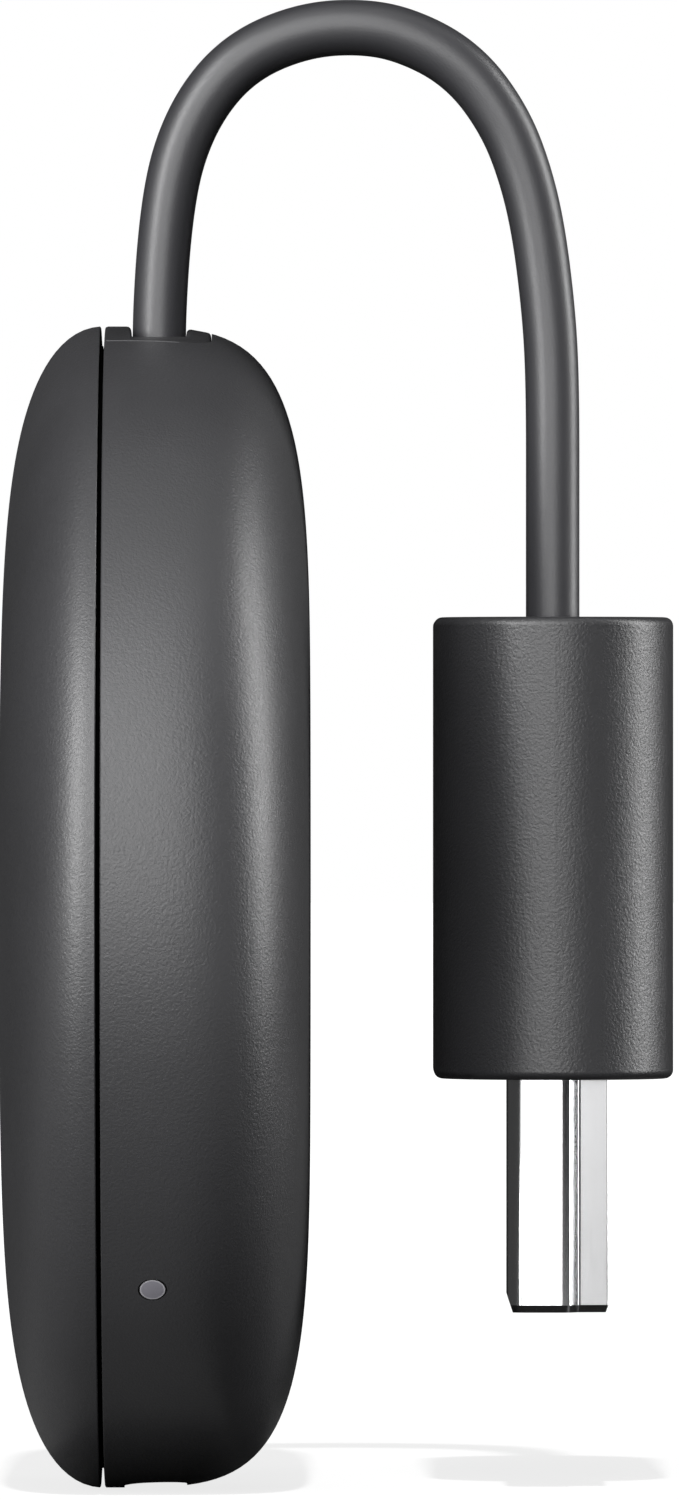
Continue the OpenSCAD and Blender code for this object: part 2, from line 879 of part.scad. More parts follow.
// Disc on the shell's posts with a pedestal that presses on the pad
module rear_heat_spreader() {
    pedestal_z = rear_pad_z + rear_pad_t;
    color("#989a9d")
        stand()
            difference() {
                union() {
                    translate([0, 0, rear_plate_z])
                        cylinder(r = rear_spreader_r, h = rear_spreader_t);
                    chip([pad_w, pad_w, rear_plate_z - pedestal_z + bite], 0, 0, pedestal_z);
                }
                for (angle = post_angles)
                    rotate([0, 0, angle])
                        translate([post_ring_r, 0, rear_plate_z - overrun])
                            cylinder(d = pin_d + 2 * fit_gap, h = rear_spreader_t + 2 * overrun);
            }
}

// Outline of the power socket across its mouth: wide on top, cut corners at the board
module socket_outline(inset) {
    top = -socket_h / 2 + inset;
    foot = socket_h / 2 - inset;
    half = socket_w / 2 - inset;
    polygon([
        [top, -half], [top, half],
        [0, half], [foot, half - socket_corner],
        [foot, -half + socket_corner], [0, -half]
    ]);
}

module socket_shell() {
    color("#c6c8cb")
        stand()
            at_rim(0, port_z)
                translate([0, 0, socket_x])
                    difference() {
                        linear_extrude(socket_l)
                            socket_outline(0);
                        translate([0, 0, socket_wall])
                            linear_extrude(socket_l)
                                socket_outline(socket_wall);
                    }
}

module socket_tongue() {
    color("#1c1c1e")
        stand()
            at_rim(0, port_z)
                translate([0, 0, socket_x + socket_wall]) {
                    linear_extrude(tongue_base_l)
                        socket_outline(socket_wall + mould_gap);
                    chip([tongue_t, tongue_w, socket_l * tongue_share], tongue_x, 0, 0);
                }
}

module socket_contacts() {
    color("#d3b25a")
        stand()
            at_rim(0, port_z)
                translate([0, 0, socket_x + socket_wall + tongue_base_l])
                    for (i = [-2 : 2])
                        chip([leaf_t, socket_pitch / 2, socket_l * leaf_share],
                            tongue_x + (tongue_t + leaf_t) / 2, i * socket_pitch, 0);
}

module status_led() {
    color("#e8e6da")
        stand()
            rotate([0, 0, -side_angle])
                chip([led_deep, led_l, led_h], edge_part_r - led_deep / 2, 0, board_rear_z);
}

// Clear rod that shows as a small round window in the rim, with a block that catches the light
module light_pipe() {
    block_in_r = edge_part_r + fit_gap;
    block_out_r = lip_in_r - fit_gap;
    color("#8f8d96")
        stand()
            rotate([0, 0, -side_angle]) {
                chip([block_out_r - block_in_r, pipe_block_l, pipe_block_h],
                    (block_in_r + block_out_r) / 2, 0, board_rear_z + fit_gap * 2);
                at_rim(0, port_z)
                    translate([0, 0, block_out_r - bite])
                        cylinder(d = lens_d, h = case_r - block_out_r + bite - rim_edge);
            }
}

module switch_body() {
    bore_l = plunger_proud + button_travel + fit_gap;
    color("#2a2a2c")
        stand()
            difference() {
                rotate([0, 0, side_angle])
                    chip([switch_deep, switch_w, switch_h], switch_r + switch_deep / 2, 0, board_rear_z);
                at_rim(side_angle, port_z)
                    translate([0, 0, edge_part_r - bore_l])
                        cylinder(d = plunger_d + 2 * fit_gap, h = bore_l + overrun);
            }
}

// The plunger reaches as far out of the switch as into it
module switch_plunger() {
    color("#d8d8d4")
        stand()
            at_rim(side_angle, port_z)
                translate([0, 0, edge_part_r - plunger_proud])
                    cylinder(d = plunger_d, h = 2 * plunger_proud);
}

// Button cap with the flange that keeps it in the shell and the stem that meets the plunger
module reset_button() {
    stem_r = edge_part_r + plunger_proud;
    color("#2f2f32")
        stand()
            intersection() {
                at_rim(side_angle, port_z) {
                    translate([0, 0, flange_r - bite])
                        cylinder(d = button_d, h = case_r - flange_r + overrun);
                    translate([-flange_w / 2, -flange_l / 2, flange_r - flange_t])
                        cube([flange_w, flange_l, flange_t]);
                    translate([0, 0, stem_r])
                        cylinder(d = stem_d, h = flange_r - stem_r);
                }
                cylinder(r = case_r - rim_edge, h = case_t, center = true);
            }
}

function clamp_screw_y() = lead_w / 2 + sheet_t + clamp_foot / 2 + mould_gap;

// Sheet-metal strap over the lead, screwed to the board at both feet
module lead_clamp() {
    foot_w = lead_w + 2 * (sheet_t + clamp_foot + mould_gap);
    arch_h = lead_z - board_rear_z + lead_t / 2 + mould_gap;
    color("#b0b2b4")
        stand()
            difference() {
                union() {
                    chip([clamp_l, foot_w, sheet_t], clamp_x + clamp_l / 2, 0, board_rear_z);
                    chip([clamp_l, lead_w + 2 * (sheet_t + mould_gap), arch_h + sheet_t],
                        clamp_x + clamp_l / 2, 0, board_rear_z);
                }
                chip([clamp_l + 2 * overrun, lead_w + 2 * mould_gap, arch_h + overrun],
                    clamp_x + clamp_l / 2, 0, board_rear_z - overrun);
                for (side = [-1, 1])
                    translate([clamp_x + clamp_l / 2, side * clamp_screw_y(), board_rear_z - overrun])
                        cylinder(d = screw_d + fit_gap, h = sheet_t + 2 * overrun);
            }
}

module clamp_screws() {
    head_d = min(clamp_foot - 2 * fit_gap, screw_head_d);
    color("#b9bcc0")
        stand()
            for (side = [-1, 1])
                translate([clamp_x + clamp_l / 2, side * clamp_screw_y(), board_rear_z + sheet_t]) {
                    cylinder(d = head_d, h = screw_head_h);
                    translate([0, 0, -clamp_screw_l])
                        cylinder(d = screw_d, h = clamp_screw_l);
                }
}

// Wires from the end of the lead's jacket, which fan out to two rows of solder pads
module lead_wires() {
    color("#b65a3c")
        stand()
            for (i = [0 : contact_count - 1]) {
                row = i % 2;
                place = i - (contact_count - 1) / 2;
                from_z = lead_z + (row - 0.5) * wire_row_gap;
                rod([lead_end_x + wire_d / 2, place * wire_pitch / 2, from_z],
                    [lead_end_x + wire_fan_l * (row + 1) / 2, place * pad_pitch / 2,
                        board_rear_z + wire_d * wire_rest_share],
                    wire_d);
            }
}

// Section of the flat lead as [across its thickness, across its width] points
lead_section = [for (end = [0, 1], i = [0 : 5])
    let (a = end * 180 + i * 36)
    [lead_t / 2 * cos(a), (0.5 - end) * (lead_w - lead_t) + lead_t / 2 * sin(a)]];

module lead_cable() {
    n = len(lead_section);
    path = [for (p = lead_route) [exit_x + p[0], exit_z + p[1]]];
    points = [for (k = [0 : route_last])
        let (
            along = unit(path[min(k + 1, route_last)] - path[max(k - 1, 0)]),
            across = [along[1], -along[0]]
        )
        for (s = lead_section)
            [path[k][0] + across[0] * s[0], s[1], path[k][1] + across[1] * s[0]]];
    sides = [for (k = [0 : route_last - 1], i = [0 : n - 1])
        let (a = k * n + i, b = k * n + (i + 1) % n)
        each [[a, b, a + n], [b, b + n, a + n]]];
    ends = [
        [for (i = [n - 1 : -1 : 0]) i],
        [for (i = [0 : n - 1]) route_last * n + i]
    ];
    color("#3a3a3d")
        polyhedron(points, concat(sides, ends));
}

// Outline of the housing moved in by inset, as points at the height z
function housing_ring(inset, z) =
    let (
        x = housing_t / 2 - inset,
        y = housing_w / 2 - inset,
        r = housing_r - inset,
        outline = rounded([[x, y], [-x, y], [-x, -y], [x, -y]], [r, r, r, r], 8)
    )
    [for (p = outline) [p[0], p[1], z]];

// Outside of the housing, with its two end edges rounded
module housing_block() {
    steps = 3;
    levels = [for (i = [0 : steps])
        let (a = 90 * i / steps)
        [housing_edge * (1 - sin(a)), housing_edge * (1 - cos(a))]];
    rings = concat(
        [for (level = levels) housing_ring(level[0], -level[1])],
        [for (level = reverse(levels)) housing_ring(level[0], level[1] - housing_l)]
    );
    n = len(rings[0]);
    last = len(rings) - 1;
    sides = [for (k = [0 : last - 1], i = [0 : n - 1])
        let (a = k * n + i, b = k * n + (i + 1) % n)
        each [[a, b, b + n], [a, b + n, a + n]]];
    ends = [[for (i = [n - 1 : -1 : 0]) i], [for (i = [0 : n - 1]) last * n + i]];
    polyhedron([for (ring = rings) each ring], concat(sides, ends));
}

module plug_housing() {
    color("#37373a")
        at_plug()
            difference() {
                housing_block();
                translate([0, 0, -housing_l + end_wall])
                    linear_extrude(housing_l - 2 * end_wall)
                        soft_rectangle(cavity_t, cavity_w, cavity_r);
                translate([0, 0, -end_wall - overrun])
                    linear_extrude(end_wall + 2 * overrun)
                        flat_oval(lead_t + 2 * mould_gap, lead_w + 2 * mould_gap);
                translate([plug_offset, 0, -housing_l - overrun])
                    linear_extrude(end_wall + 2 * overrun)
                        polygon(plug_outline(-mould_gap));
            }
}

// Hard plastic block that fills the housing around the can and the crimp
module plug_inner_mould() {
    top = end_wall + mould_gap;
    bottom = housing_l - end_wall - mould_gap;
    hollow_t = can_in_t + 2 * (can_wall + mould_gap);
    hollow_w = can_in_w + 2 * (can_wall + mould_gap);
    color("#c9c4b4")
        at_plug()
            difference() {
                translate([0, 0, -bottom])
                    linear_extrude(bottom - top)
                        soft_rectangle(cavity_t - 2 * mould_gap, cavity_w - 2 * mould_gap, cavity_r);
                translate([plug_offset - hollow_t / 2, -hollow_w / 2, -bottom - overrun])
                    cube([hollow_t, hollow_w, bottom - can_top + overrun + mould_gap]);
                translate([0, 0, -can_top - overrun])
                    linear_extrude(can_top)
                        flat_oval(lead_t + 2 * (crimp_t + mould_gap), lead_w + 2 * (crimp_t + mould_gap));
            }
}

// Folded shield box behind the metal shell, open towards the plug's tip
module plug_can() {
    outer_t = can_in_t + 2 * can_wall;
    outer_w = can_in_w + 2 * can_wall;
    color("#c2c4c7")
        at_plug()
            difference() {
                translate([plug_offset - outer_t / 2, -outer_w / 2, -can_bottom])
                    cube([outer_t, outer_w, can_bottom - can_top]);
                translate([plug_offset - can_in_t / 2, -can_in_w / 2, -can_bottom - overrun])
                    cube([can_in_t, can_in_w, can_bottom - can_top - can_wall + overrun]);
                translate([0, 0, -can_top - can_wall - overrun])
                    linear_extrude(can_wall + 2 * overrun)
                        flat_oval(lead_t + 2 * mould_gap, lead_w + 2 * mould_gap);
            }
}

// Oval ferrule crimped round the lead's braid, standing on the can
module plug_crimp() {
    color("#aeb1b5")
        at_plug()
            translate([0, 0, -can_top])
                linear_extrude(crimp_l)
                    difference() {
                        flat_oval(lead_t + 2 * crimp_t, lead_w + 2 * crimp_t);
                        flat_oval(lead_t + mould_gap, lead_w + mould_gap);
                    }
}

// Wires from the end of the jacket down to the tails of the contacts
module plug_wires() {
    top = lead_into_plug + wire_d / 2;
    bottom = insulator_back - tail_l - wire_d / 2;
    color("#b65a3c")
        at_plug()
            for (i = [0 : contact_count - 1]) {
                row = i % 2;
                place = i - (contact_count - 1) / 2;
                rod([(row - 0.5) * wire_row_gap, place * inner_pitch / 2, -top],
                    [contact_x(row), place * contact_pitch / 2, -bottom],
                    wire_d);
            }
}

// Middle of a row of contacts across the plug: row 0 is on the wide side
function contact_x(row) = plug_offset + (row == 0 ? -1 : 1) * (slot_h + contact_t) / 2;

module plug_insulator() {
    mouth = housing_l + plug_out - mouth_sink;
    color("#161618")
        at_plug()
            difference() {
                translate([plug_offset, 0, -mouth])
                    linear_extrude(mouth - insulator_back)
                        polygon(plug_outline(plug_wall + mould_gap));
                translate([plug_offset - slot_h / 2, -slot_w / 2, -mouth - overrun])
                    cube([slot_h, slot_w, plug_out + overrun]);
                for (i = [0 : contact_count - 1])
                    contact(i, mould_gap, overrun);
            }
}

// One flat contact strip: grow widens it into its groove, and longer runs the groove out
module contact(i, grow, longer) {
    tip = housing_l + plug_out - mouth_sink - bite * 2;
    back = insulator_back - tail_l;
    width = contact_w + 2 * grow;
    thick = contact_t + 2 * grow;
    place = i - (contact_count - 1) / 2;
    long = tip - back + grow + longer;
    chip([thick, width, long], contact_x(i % 2), place * contact_pitch / 2, -tip - grow);
}

module plug_contacts() {
    color("#d9bd6c")
        at_plug()
            for (i = [0 : contact_count - 1])
                contact(i, 0, 0);
}

module plug_shell() {
    top = housing_l - plug_in;
    bottom = housing_l + plug_out;
    color("#cfd1d4")
        at_plug()
            translate([plug_offset, 0, -bottom])
                difference() {
                    linear_extrude(bottom - top)
                        polygon(plug_outline(0));
                    translate([0, 0, -overrun])
                        linear_extrude(bottom - top + 2 * overrun)
                            polygon(plug_outline(plug_wall));
                }
}

front_cover();
rear_shell();
cable_collar();
main_board();
soc_chip();
soc_thermal_pad();
memory_chip_left();
memory_chip_right();
flash_chip();
radio_chip();
power_chip();
inductors();
capacitors();
crystals();
antenna_left();
antenna_right();
front_shield_frame();
front_shield_lid();
front_thermal_pad();
front_heat_spreader();
rear_shield_frame();
rear_shield_lid();
rear_thermal_pad();
rear_heat_spreader();
socket_shell();
socket_tongue();
socket_contacts();
status_led();
light_pipe();
switch_body();
switch_plunger();
reset_button();
lead_clamp();
clamp_screws();
lead_wires();
board_screws();
lead_cable();
plug_housing();
plug_inner_mould();
plug_can();
plug_crimp();
plug_wires();
plug_insulator();
plug_contacts();
plug_shell();
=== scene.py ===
import json
import math

import bmesh
import bpy
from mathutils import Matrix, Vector

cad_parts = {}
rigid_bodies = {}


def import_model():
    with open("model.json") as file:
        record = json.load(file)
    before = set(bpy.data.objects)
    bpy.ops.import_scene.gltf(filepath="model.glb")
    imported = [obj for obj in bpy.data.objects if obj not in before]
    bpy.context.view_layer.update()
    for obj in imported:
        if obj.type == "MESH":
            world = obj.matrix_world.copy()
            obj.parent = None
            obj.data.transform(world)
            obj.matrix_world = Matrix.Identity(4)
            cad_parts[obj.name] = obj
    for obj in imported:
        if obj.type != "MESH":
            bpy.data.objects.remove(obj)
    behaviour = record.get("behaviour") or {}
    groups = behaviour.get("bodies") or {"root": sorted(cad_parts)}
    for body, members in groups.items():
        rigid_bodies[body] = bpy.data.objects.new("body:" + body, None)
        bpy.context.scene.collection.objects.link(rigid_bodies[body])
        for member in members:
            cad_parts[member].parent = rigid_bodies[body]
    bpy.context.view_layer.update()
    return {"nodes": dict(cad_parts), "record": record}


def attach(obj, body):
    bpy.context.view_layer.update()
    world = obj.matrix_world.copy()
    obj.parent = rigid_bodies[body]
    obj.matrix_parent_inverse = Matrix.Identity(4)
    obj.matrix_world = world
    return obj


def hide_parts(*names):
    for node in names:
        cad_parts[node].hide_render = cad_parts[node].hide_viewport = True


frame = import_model()
print("frame loaded:", len(frame["nodes"]), "nodes")

mm = 0.001

# camera, level with the middle of the picture and square to the rim
view = {
    "place": (8.19 * mm, -1045 * mm, 32.9 * mm),
    "lens": 562,
    "sensor": 36,
    "clip": (0.01, 20),
}
bpy.ops.object.camera_add(location=view["place"], rotation=(math.pi / 2, 0, 0))
camera = bpy.context.object
camera.name = "photoCamera"
camera.data.lens = view["lens"]
camera.data.sensor_width = view["sensor"]
camera.data.clip_start, camera.data.clip_end = view["clip"]
bpy.context.scene.camera = camera
print("camera placed")

# settings of the small helpers
shaping = {
    "same": 0.01,  # places closer than this, in millimetres, count as one
    "weld": 0.0005,
    "aligned": 0.99,  # least part of an edge's direction that lies along an axis it runs along
    "facing": 0.9,  # the same of a face's normal
    "sharp": 50,  # the least angle, in degrees, of an edge that gets a bevel
    "flatWeight": 90,  # how far flat faces outweigh round ones in their shared normals
    "ovalRest": 0.005,  # what stays straight between the two roundings of an oval
    "ovalSteps": 14,
    "rodFaces": 48,
    "rodSteps": 4,
}
same = shaping["same"]


def deselectAll():
    bpy.ops.object.select_all(action="DESELECT")


def makeActive(piece):
    deselectAll()
    piece.select_set(True)
    bpy.context.view_layer.objects.active = piece


def startEdit(piece, kind="EDGE"):
    makeActive(piece)
    bpy.ops.object.mode_set(mode="EDIT")
    bpy.ops.mesh.select_mode(type=kind)
    bpy.ops.mesh.select_all(action="DESELECT")


def endEdit():
    bpy.ops.object.mode_set(mode="OBJECT")


# picks what passes the test: a vertex by its place, an edge by its middle and direction, a face
# by its middle and normal
def choose(piece, kind, test):
    bpy.ops.mesh.select_mode(type=kind)
    bpy.ops.mesh.select_all(action="DESELECT")
    mesh = bmesh.from_edit_mesh(piece.data)
    if kind == "VERT":
        for vert in mesh.verts:
            vert.select_set(test(vert.co))
    elif kind == "EDGE":
        for edge in mesh.edges:
            a, b = (vert.co for vert in edge.verts)
            edge.select_set(test((a + b) / 2, b - a, edge))
    else:
        mesh.normal_update()
        for face in mesh.faces:
            face.select_set(test(face.calc_center_median(), face.normal))
    mesh.select_flush_mode()
    bmesh.update_edit_mesh(piece.data)


def named(name):
    piece = bpy.context.object
    piece.name = name
    piece.data.name = name
    return piece


def settle(piece):
    makeActive(piece)
    bpy.ops.object.transform_apply(location=True, rotation=True, scale=True)


def useModifier(piece, kind, **values):
    makeActive(piece)
    modifier = piece.modifiers.new(kind.lower(), kind)
    for key, value in values.items():
        setattr(modifier, key, value)
    bpy.ops.object.modifier_apply(modifier=modifier.name)


def discard(*pieces):
    for piece in pieces:
        bpy.data.objects.remove(piece)


# cuts the shape of each cutter out of the piece, and then removes the cutters
def cut(piece, *cutters):
    for cutter in cutters:
        useModifier(piece, "BOOLEAN", operation="DIFFERENCE", solver="EXACT", object=cutter)
    discard(*cutters)


def join(piece, *others):
    for other in others:
        useModifier(piece, "BOOLEAN", operation="UNION", solver="EXACT", object=other)
    discard(*others)


def copyOf(piece, name):
    twin = piece.copy()
    twin.data = piece.data.copy()
    bpy.context.scene.collection.objects.link(twin)
    twin.name = name
    return twin


def smooth(piece, angle):
    makeActive(piece)
    bpy.ops.object.shade_smooth_by_angle(angle=math.radians(angle))


# smooth corners while the flat faces between them stay flat
def smoothFlat(piece, angle):
    smooth(piece, angle)
    useModifier(piece, "WEIGHTED_NORMAL", keep_sharp=True, weight=shaping["flatWeight"])


# a block between two corners, in millimetres
def block(name, low, high):
    deselectAll()
    middle = [(a + b) / 2 * mm for a, b in zip(low, high)]
    size = [(b - a) * mm for a, b in zip(low, high)]
    bpy.ops.mesh.primitive_cube_add(size=1, location=middle, scale=size)
    piece = named(name)
    settle(piece)
    return piece


# rounds the edges of a block that run along one axis and pass the test
def roundEdges(piece, axis, radius, steps, test=lambda middle: True):
    startEdit(piece)
    choose(piece, "EDGE", lambda middle, along, edge:
           abs(along.normalized()[axis]) > shaping["aligned"] and test(middle / mm))
    bpy.ops.mesh.bevel(offset=radius * mm, segments=steps, profile=0.5, affect="EDGES")
    endEdit()


# bevels the sharp edges that pass the test
def sharpBevel(piece, reach, steps, test):
    startEdit(piece)
    choose(piece, "EDGE", lambda middle, along, edge: len(edge.link_faces) == 2 and test(middle / mm)
           and edge.calc_face_angle(0) > math.radians(shaping["sharp"]))
    bpy.ops.mesh.bevel(offset=reach * mm, segments=steps, profile=0.5, affect="EDGES",
                       clamp_overlap=False)
    endEdit()


# a chain of edges through the points, left selected in edit mode
def drawChain(name, points):
    deselectAll()
    bpy.ops.mesh.primitive_plane_add(size=mm, location=(0, 0, 0))
    piece = named(name)
    bpy.ops.object.mode_set(mode="EDIT")
    bpy.ops.mesh.select_mode(type="VERT")
    bpy.ops.mesh.select_all(action="SELECT")
    bpy.ops.mesh.merge(type="CENTER")
    bpy.ops.transform.translate(value=points[0])
    for a, b in zip(points, points[1:]):
        bpy.ops.mesh.extrude_region_move(TRANSFORM_OT_translate={"value": b - a})
    bpy.ops.mesh.select_all(action="SELECT")
    return piece


# the flat face inside a closed line of (x, y) points in millimetres, at the height z
def outlineFace(name, line, z):
    piece = drawChain(name, [Vector((x * mm, y * mm, z * mm)) for x, y in line])
    bpy.ops.mesh.edge_face_add()
    endEdit()
    return piece


# rounds the corners of a flat face that pass the test, each by its length along the sides
def roundCorners(piece, reach, steps, test):
    startEdit(piece, "VERT")
    choose(piece, "VERT", lambda place: test(place / mm))
    bpy.ops.mesh.bevel(offset=reach * mm, segments=steps, affect="VERTICES")
    endEdit()


def raiseFace(piece, height):
    startEdit(piece, "FACE")
    bpy.ops.mesh.select_all(action="SELECT")
    bpy.ops.mesh.extrude_region_move(TRANSFORM_OT_translate={"value": (0, 0, height * mm)})
    bpy.ops.mesh.select_all(action="SELECT")
    bpy.ops.mesh.normals_make_consistent(inside=False)
    endEdit()


# a solid of revolution about the case axis, from a line of (x, radius) points in millimetres
def spinLine(name, line, steps):
    piece = drawChain(name, [Vector((x * mm, 0, (case["radius"] + r) * mm)) for x, r in line])
    bpy.ops.mesh.spin(steps=steps, angle=2 * math.pi, center=(0, 0, case["radius"] * mm), axis=(1, 0, 0))
    bpy.ops.mesh.select_all(action="SELECT")
    bpy.ops.mesh.remove_doubles(threshold=shaping["weld"] * mm)
    bpy.ops.mesh.normals_make_consistent(inside=False)
    endEdit()
    return piece


# an upright flat-oval rod about (x, 0), the section of the lead
def ovalRod(name, thick, wide, x, low, high):
    piece = block(name, (x - thick / 2, -wide / 2, low), (x + thick / 2, wide / 2, high))
    roundEdges(piece, 2, thick / 2 - shaping["ovalRest"], shaping["ovalSteps"])
    return piece


# an upright round rod on the Z axis, with its top edge rounded
def uprightRod(name, diameter, low, high, edge=0.0):
    deselectAll()
    bpy.ops.mesh.primitive_cylinder_add(
        vertices=shaping["rodFaces"], radius=diameter / 2 * mm, depth=(high - low) * mm,
        location=(0, 0, (high + low) / 2 * mm))
    piece = named(name)
    settle(piece)
    if edge:
        startEdit(piece)
        choose(piece, "EDGE", lambda middle, along, side: middle.z > (high - same) * mm)
        bpy.ops.mesh.bevel(offset=edge * mm, segments=shaping["rodSteps"], profile=0.5, affect="EDGES")
        endEdit()
    return piece


# turns a piece that is drawn along +Z from the case axis so that it points out through the rim
def toRim(piece, angle):
    piece.rotation_euler = (math.pi + math.radians(angle), 0, 0)
    piece.location = (0, 0, case["radius"] * mm)
    settle(piece)


# slices a piece at these distances along an axis
def slices(piece, axis, places):
    normal = [0, 0, 0]
    normal[axis] = 1
    for place in places:
        startEdit(piece, "FACE")
        bpy.ops.mesh.select_all(action="SELECT")
        spot = [0, 0, 0]
        spot[axis] = place * mm
        bpy.ops.mesh.bisect(plane_co=spot, plane_no=normal)
        endEdit()


def dress(piece, body, slot, material, *nodes):
    piece.data.materials.clear()
    piece.data.materials.append(material)
    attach(piece, body)
    if nodes:
        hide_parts(*nodes)


# the flat lead, on the route that the solid model has
lead = {
    "exit": (0.15, 51.5),  # x and z where it leaves the collar
    "thick": 2.35,
    "wide": 6.8,
    "opening": (2.43, 6.88),  # what the collar and the housing leave open for it
    "steps": [
        (0, -7), (0, -5), (0, -2.5), (0, 0), (0.05, 1.5), (0.15, 3.2), (0.3, 4.8), (0.5, 6.25),
        (0.8, 7.65), (1.3, 9.05), (2, 10.35), (2.95, 11.55), (4.15, 12.5), (5.55, 13.15),
        (7.05, 13.55), (8.6, 13.65), (10.15, 13.5), (11.6, 13.0), (12.9, 12.3), (14.05, 11.3),
        (14.95, 10.1), (15.65, 8.85), (16.15, 7.55), (16.55, 6.2), (16.85, 4.8), (17.1, 3.2),
        (17.35, 1), (17.5, -1.2), (17.55, -4), (17.55, -7), (17.55, -10), (17.55, -12.7),
        (17.55, -18.1),
    ],
    "firstFree": 3,  # the step at the exit, and the one at the housing
    "lastFree": 31,
    "fine": 10,  # rings between two steps
    "evened": 30,  # rounds of averaging that take the last unevenness out of the curve
    "around": 14,  # faces round each half of the section
    "smooth": 40,  # the angle up to which edges are shaded smooth, as in the other pieces
}


# one smooth line through the steps
def throughPoints(points, fine):
    ends = [points[0] * 2 - points[1], *points, points[-1] * 2 - points[-2]]
    line = []
    for a, b, c, d in zip(ends, ends[1:], ends[2:], ends[3:]):
        for step in range(fine):
            t = step / fine
            line.append(0.5 * (2 * b + (c - a) * t + (2 * a - 5 * b + 4 * c - d) * t ** 2
                               + (3 * b - a - 3 * c + d) * t ** 3))
    return line + [points[-1]]


def evened(points, rounds):
    for _ in range(rounds):
        between = [(a + 2 * b + c) / 4 for a, b, c in zip(points, points[1:], points[2:])]
        points = [points[0]] + between + [points[-1]]
    return points


leadSteps = [Vector(((lead["exit"][0] + x) * mm, 0, (lead["exit"][1] + z) * mm)) for x, z in lead["steps"]]
leadLine = evened(throughPoints(leadSteps, lead["fine"]), lead["evened"])


# the jacket: a flat-oval section carried along the line, with a map in metres round and along it
def sweepLead(name, line):
    half = lead["thick"] / 2 * mm
    straight = (lead["wide"] - lead["thick"]) / 2 * mm
    section = []
    for end in (1, -1):
        for step in range(lead["around"] + 1):
            turn = math.pi * step / lead["around"] + (0 if end > 0 else math.pi)
            section.append((half * math.cos(turn), end * straight + half * math.sin(turn)))
    count = len(section)
    roundAt = [0]
    for k in range(count):
        roundAt.append(roundAt[-1] + math.dist(section[k], section[(k + 1) % count]))
    mesh = bmesh.new()
    uvLayer = mesh.loops.layers.uv.new("jacket")
    rings = []
    gone = 0
    for place, point in enumerate(line):
        before = line[max(place - 1, 0)]
        after = line[min(place + 1, len(line) - 1)]
        gone += (point - before).length
        along = (after - before).normalized()
        across = Vector((along.z, 0, -along.x))
        rings.append((gone, [mesh.verts.new(point + across * x + Vector((0, y, 0))) for x, y in section]))
    for (lowAt, low), (highAt, high) in zip(rings, rings[1:]):
        for k in range(count):
            face = mesh.faces.new((low[k], low[(k + 1) % count], high[(k + 1) % count], high[k]))
            uvs = [(roundAt[k], lowAt), (roundAt[k + 1], lowAt),
                   (roundAt[k + 1], highAt), (roundAt[k], highAt)]
            for loop, uv in zip(face.loops, uvs):
                loop[uvLayer].uv = uv
    mesh.faces.new(rings[0][1][::-1])
    mesh.faces.new(rings[-1][1])
    bmesh.ops.recalc_face_normals(mesh, faces=mesh.faces)
    data = bpy.data.meshes.new(name)
    mesh.to_mesh(data)
    mesh.free()
    piece = bpy.data.objects.new(name, data)
    bpy.context.scene.collection.objects.link(piece)
    smooth(piece, lead["smooth"])
    return piece


leadPiece = sweepLead("leadJacket", leadLine)
print("lead swept")


# helpers of the finishes. An input is given a value, or the output that it is linked to
def setInputs(tree, node, inputs):
    for key, value in inputs.items():
        if isinstance(value, bpy.types.NodeSocket):
            tree.links.new(value, node.inputs[key])
        else:
            node.inputs[key].default_value = value


def newFinish(name):
    material = bpy.data.materials.new(name)
    material.use_nodes = True
    tree = material.node_tree
    return material, tree, tree.nodes["Principled BSDF"]


def addNode(tree, kind, inputs=None, **settings):
    node = tree.nodes.new("ShaderNode" + kind)
    for key, value in settings.items():
        setattr(node, key, value)
    setInputs(tree, node, inputs or {})
    return node


def objectPlace(tree, stretch=(1, 1, 1)):
    place = addNode(tree, "TexCoord").outputs["Object"]
    return addNode(tree, "Mapping", {"Vector": place, "Scale": stretch}).outputs[0]


def noiseAt(tree, place, size, detail=2, distortion=0.0):
    node = addNode(tree, "TexNoise", {"Vector": place, "Scale": 1 / (size * mm), "Detail": detail,
                                      "Distortion": distortion})
    return node.outputs[0]


def cellsAt(tree, place, size, softness=0.6):
    node = addNode(tree, "TexVoronoi", {"Vector": place, "Scale": 1 / (size * mm), "Smoothness": softness},
                   feature="SMOOTH_F1")
    return node.outputs["Distance"]


def rampOf(tree, value, *stops):
    node = addNode(tree, "ValToRGB", {"Fac": value})
    ramp = node.color_ramp
    while len(ramp.elements) < len(stops):
        ramp.elements.new(0.5)
    for element, (at, shade) in zip(ramp.elements, stops):
        element.position = at
        element.color = (*shade, 1) if hasattr(shade, "__len__") else (shade, shade, shade, 1)
    return node.outputs["Color"]


def rangeOf(tree, value, span, low, high):
    return addNode(tree, "MapRange", {"Value": value, "From Min": span[0], "From Max": span[1],
                                      "To Min": low, "To Max": high}).outputs[0]


def mathOf(tree, operation, a, b=0.0):
    return addNode(tree, "Math", {0: a, 1: b}, operation=operation).outputs[0]


def bumpOf(tree, height, depth):
    return addNode(tree, "Bump", {"Height": height, "Distance": depth * mm, "Strength": 1.0}).outputs[0]


def shadeOf(colour, factor):
    return tuple(part * factor for part in colour)


# the values of noise between which colours and roughness go from one end to the other
middling = (0.3, 0.7)


def cloudyColour(tree, cloud, colour, low, high):
    return rampOf(tree, cloud, (middling[0], shadeOf(colour, low)), (middling[1], shadeOf(colour, high)))


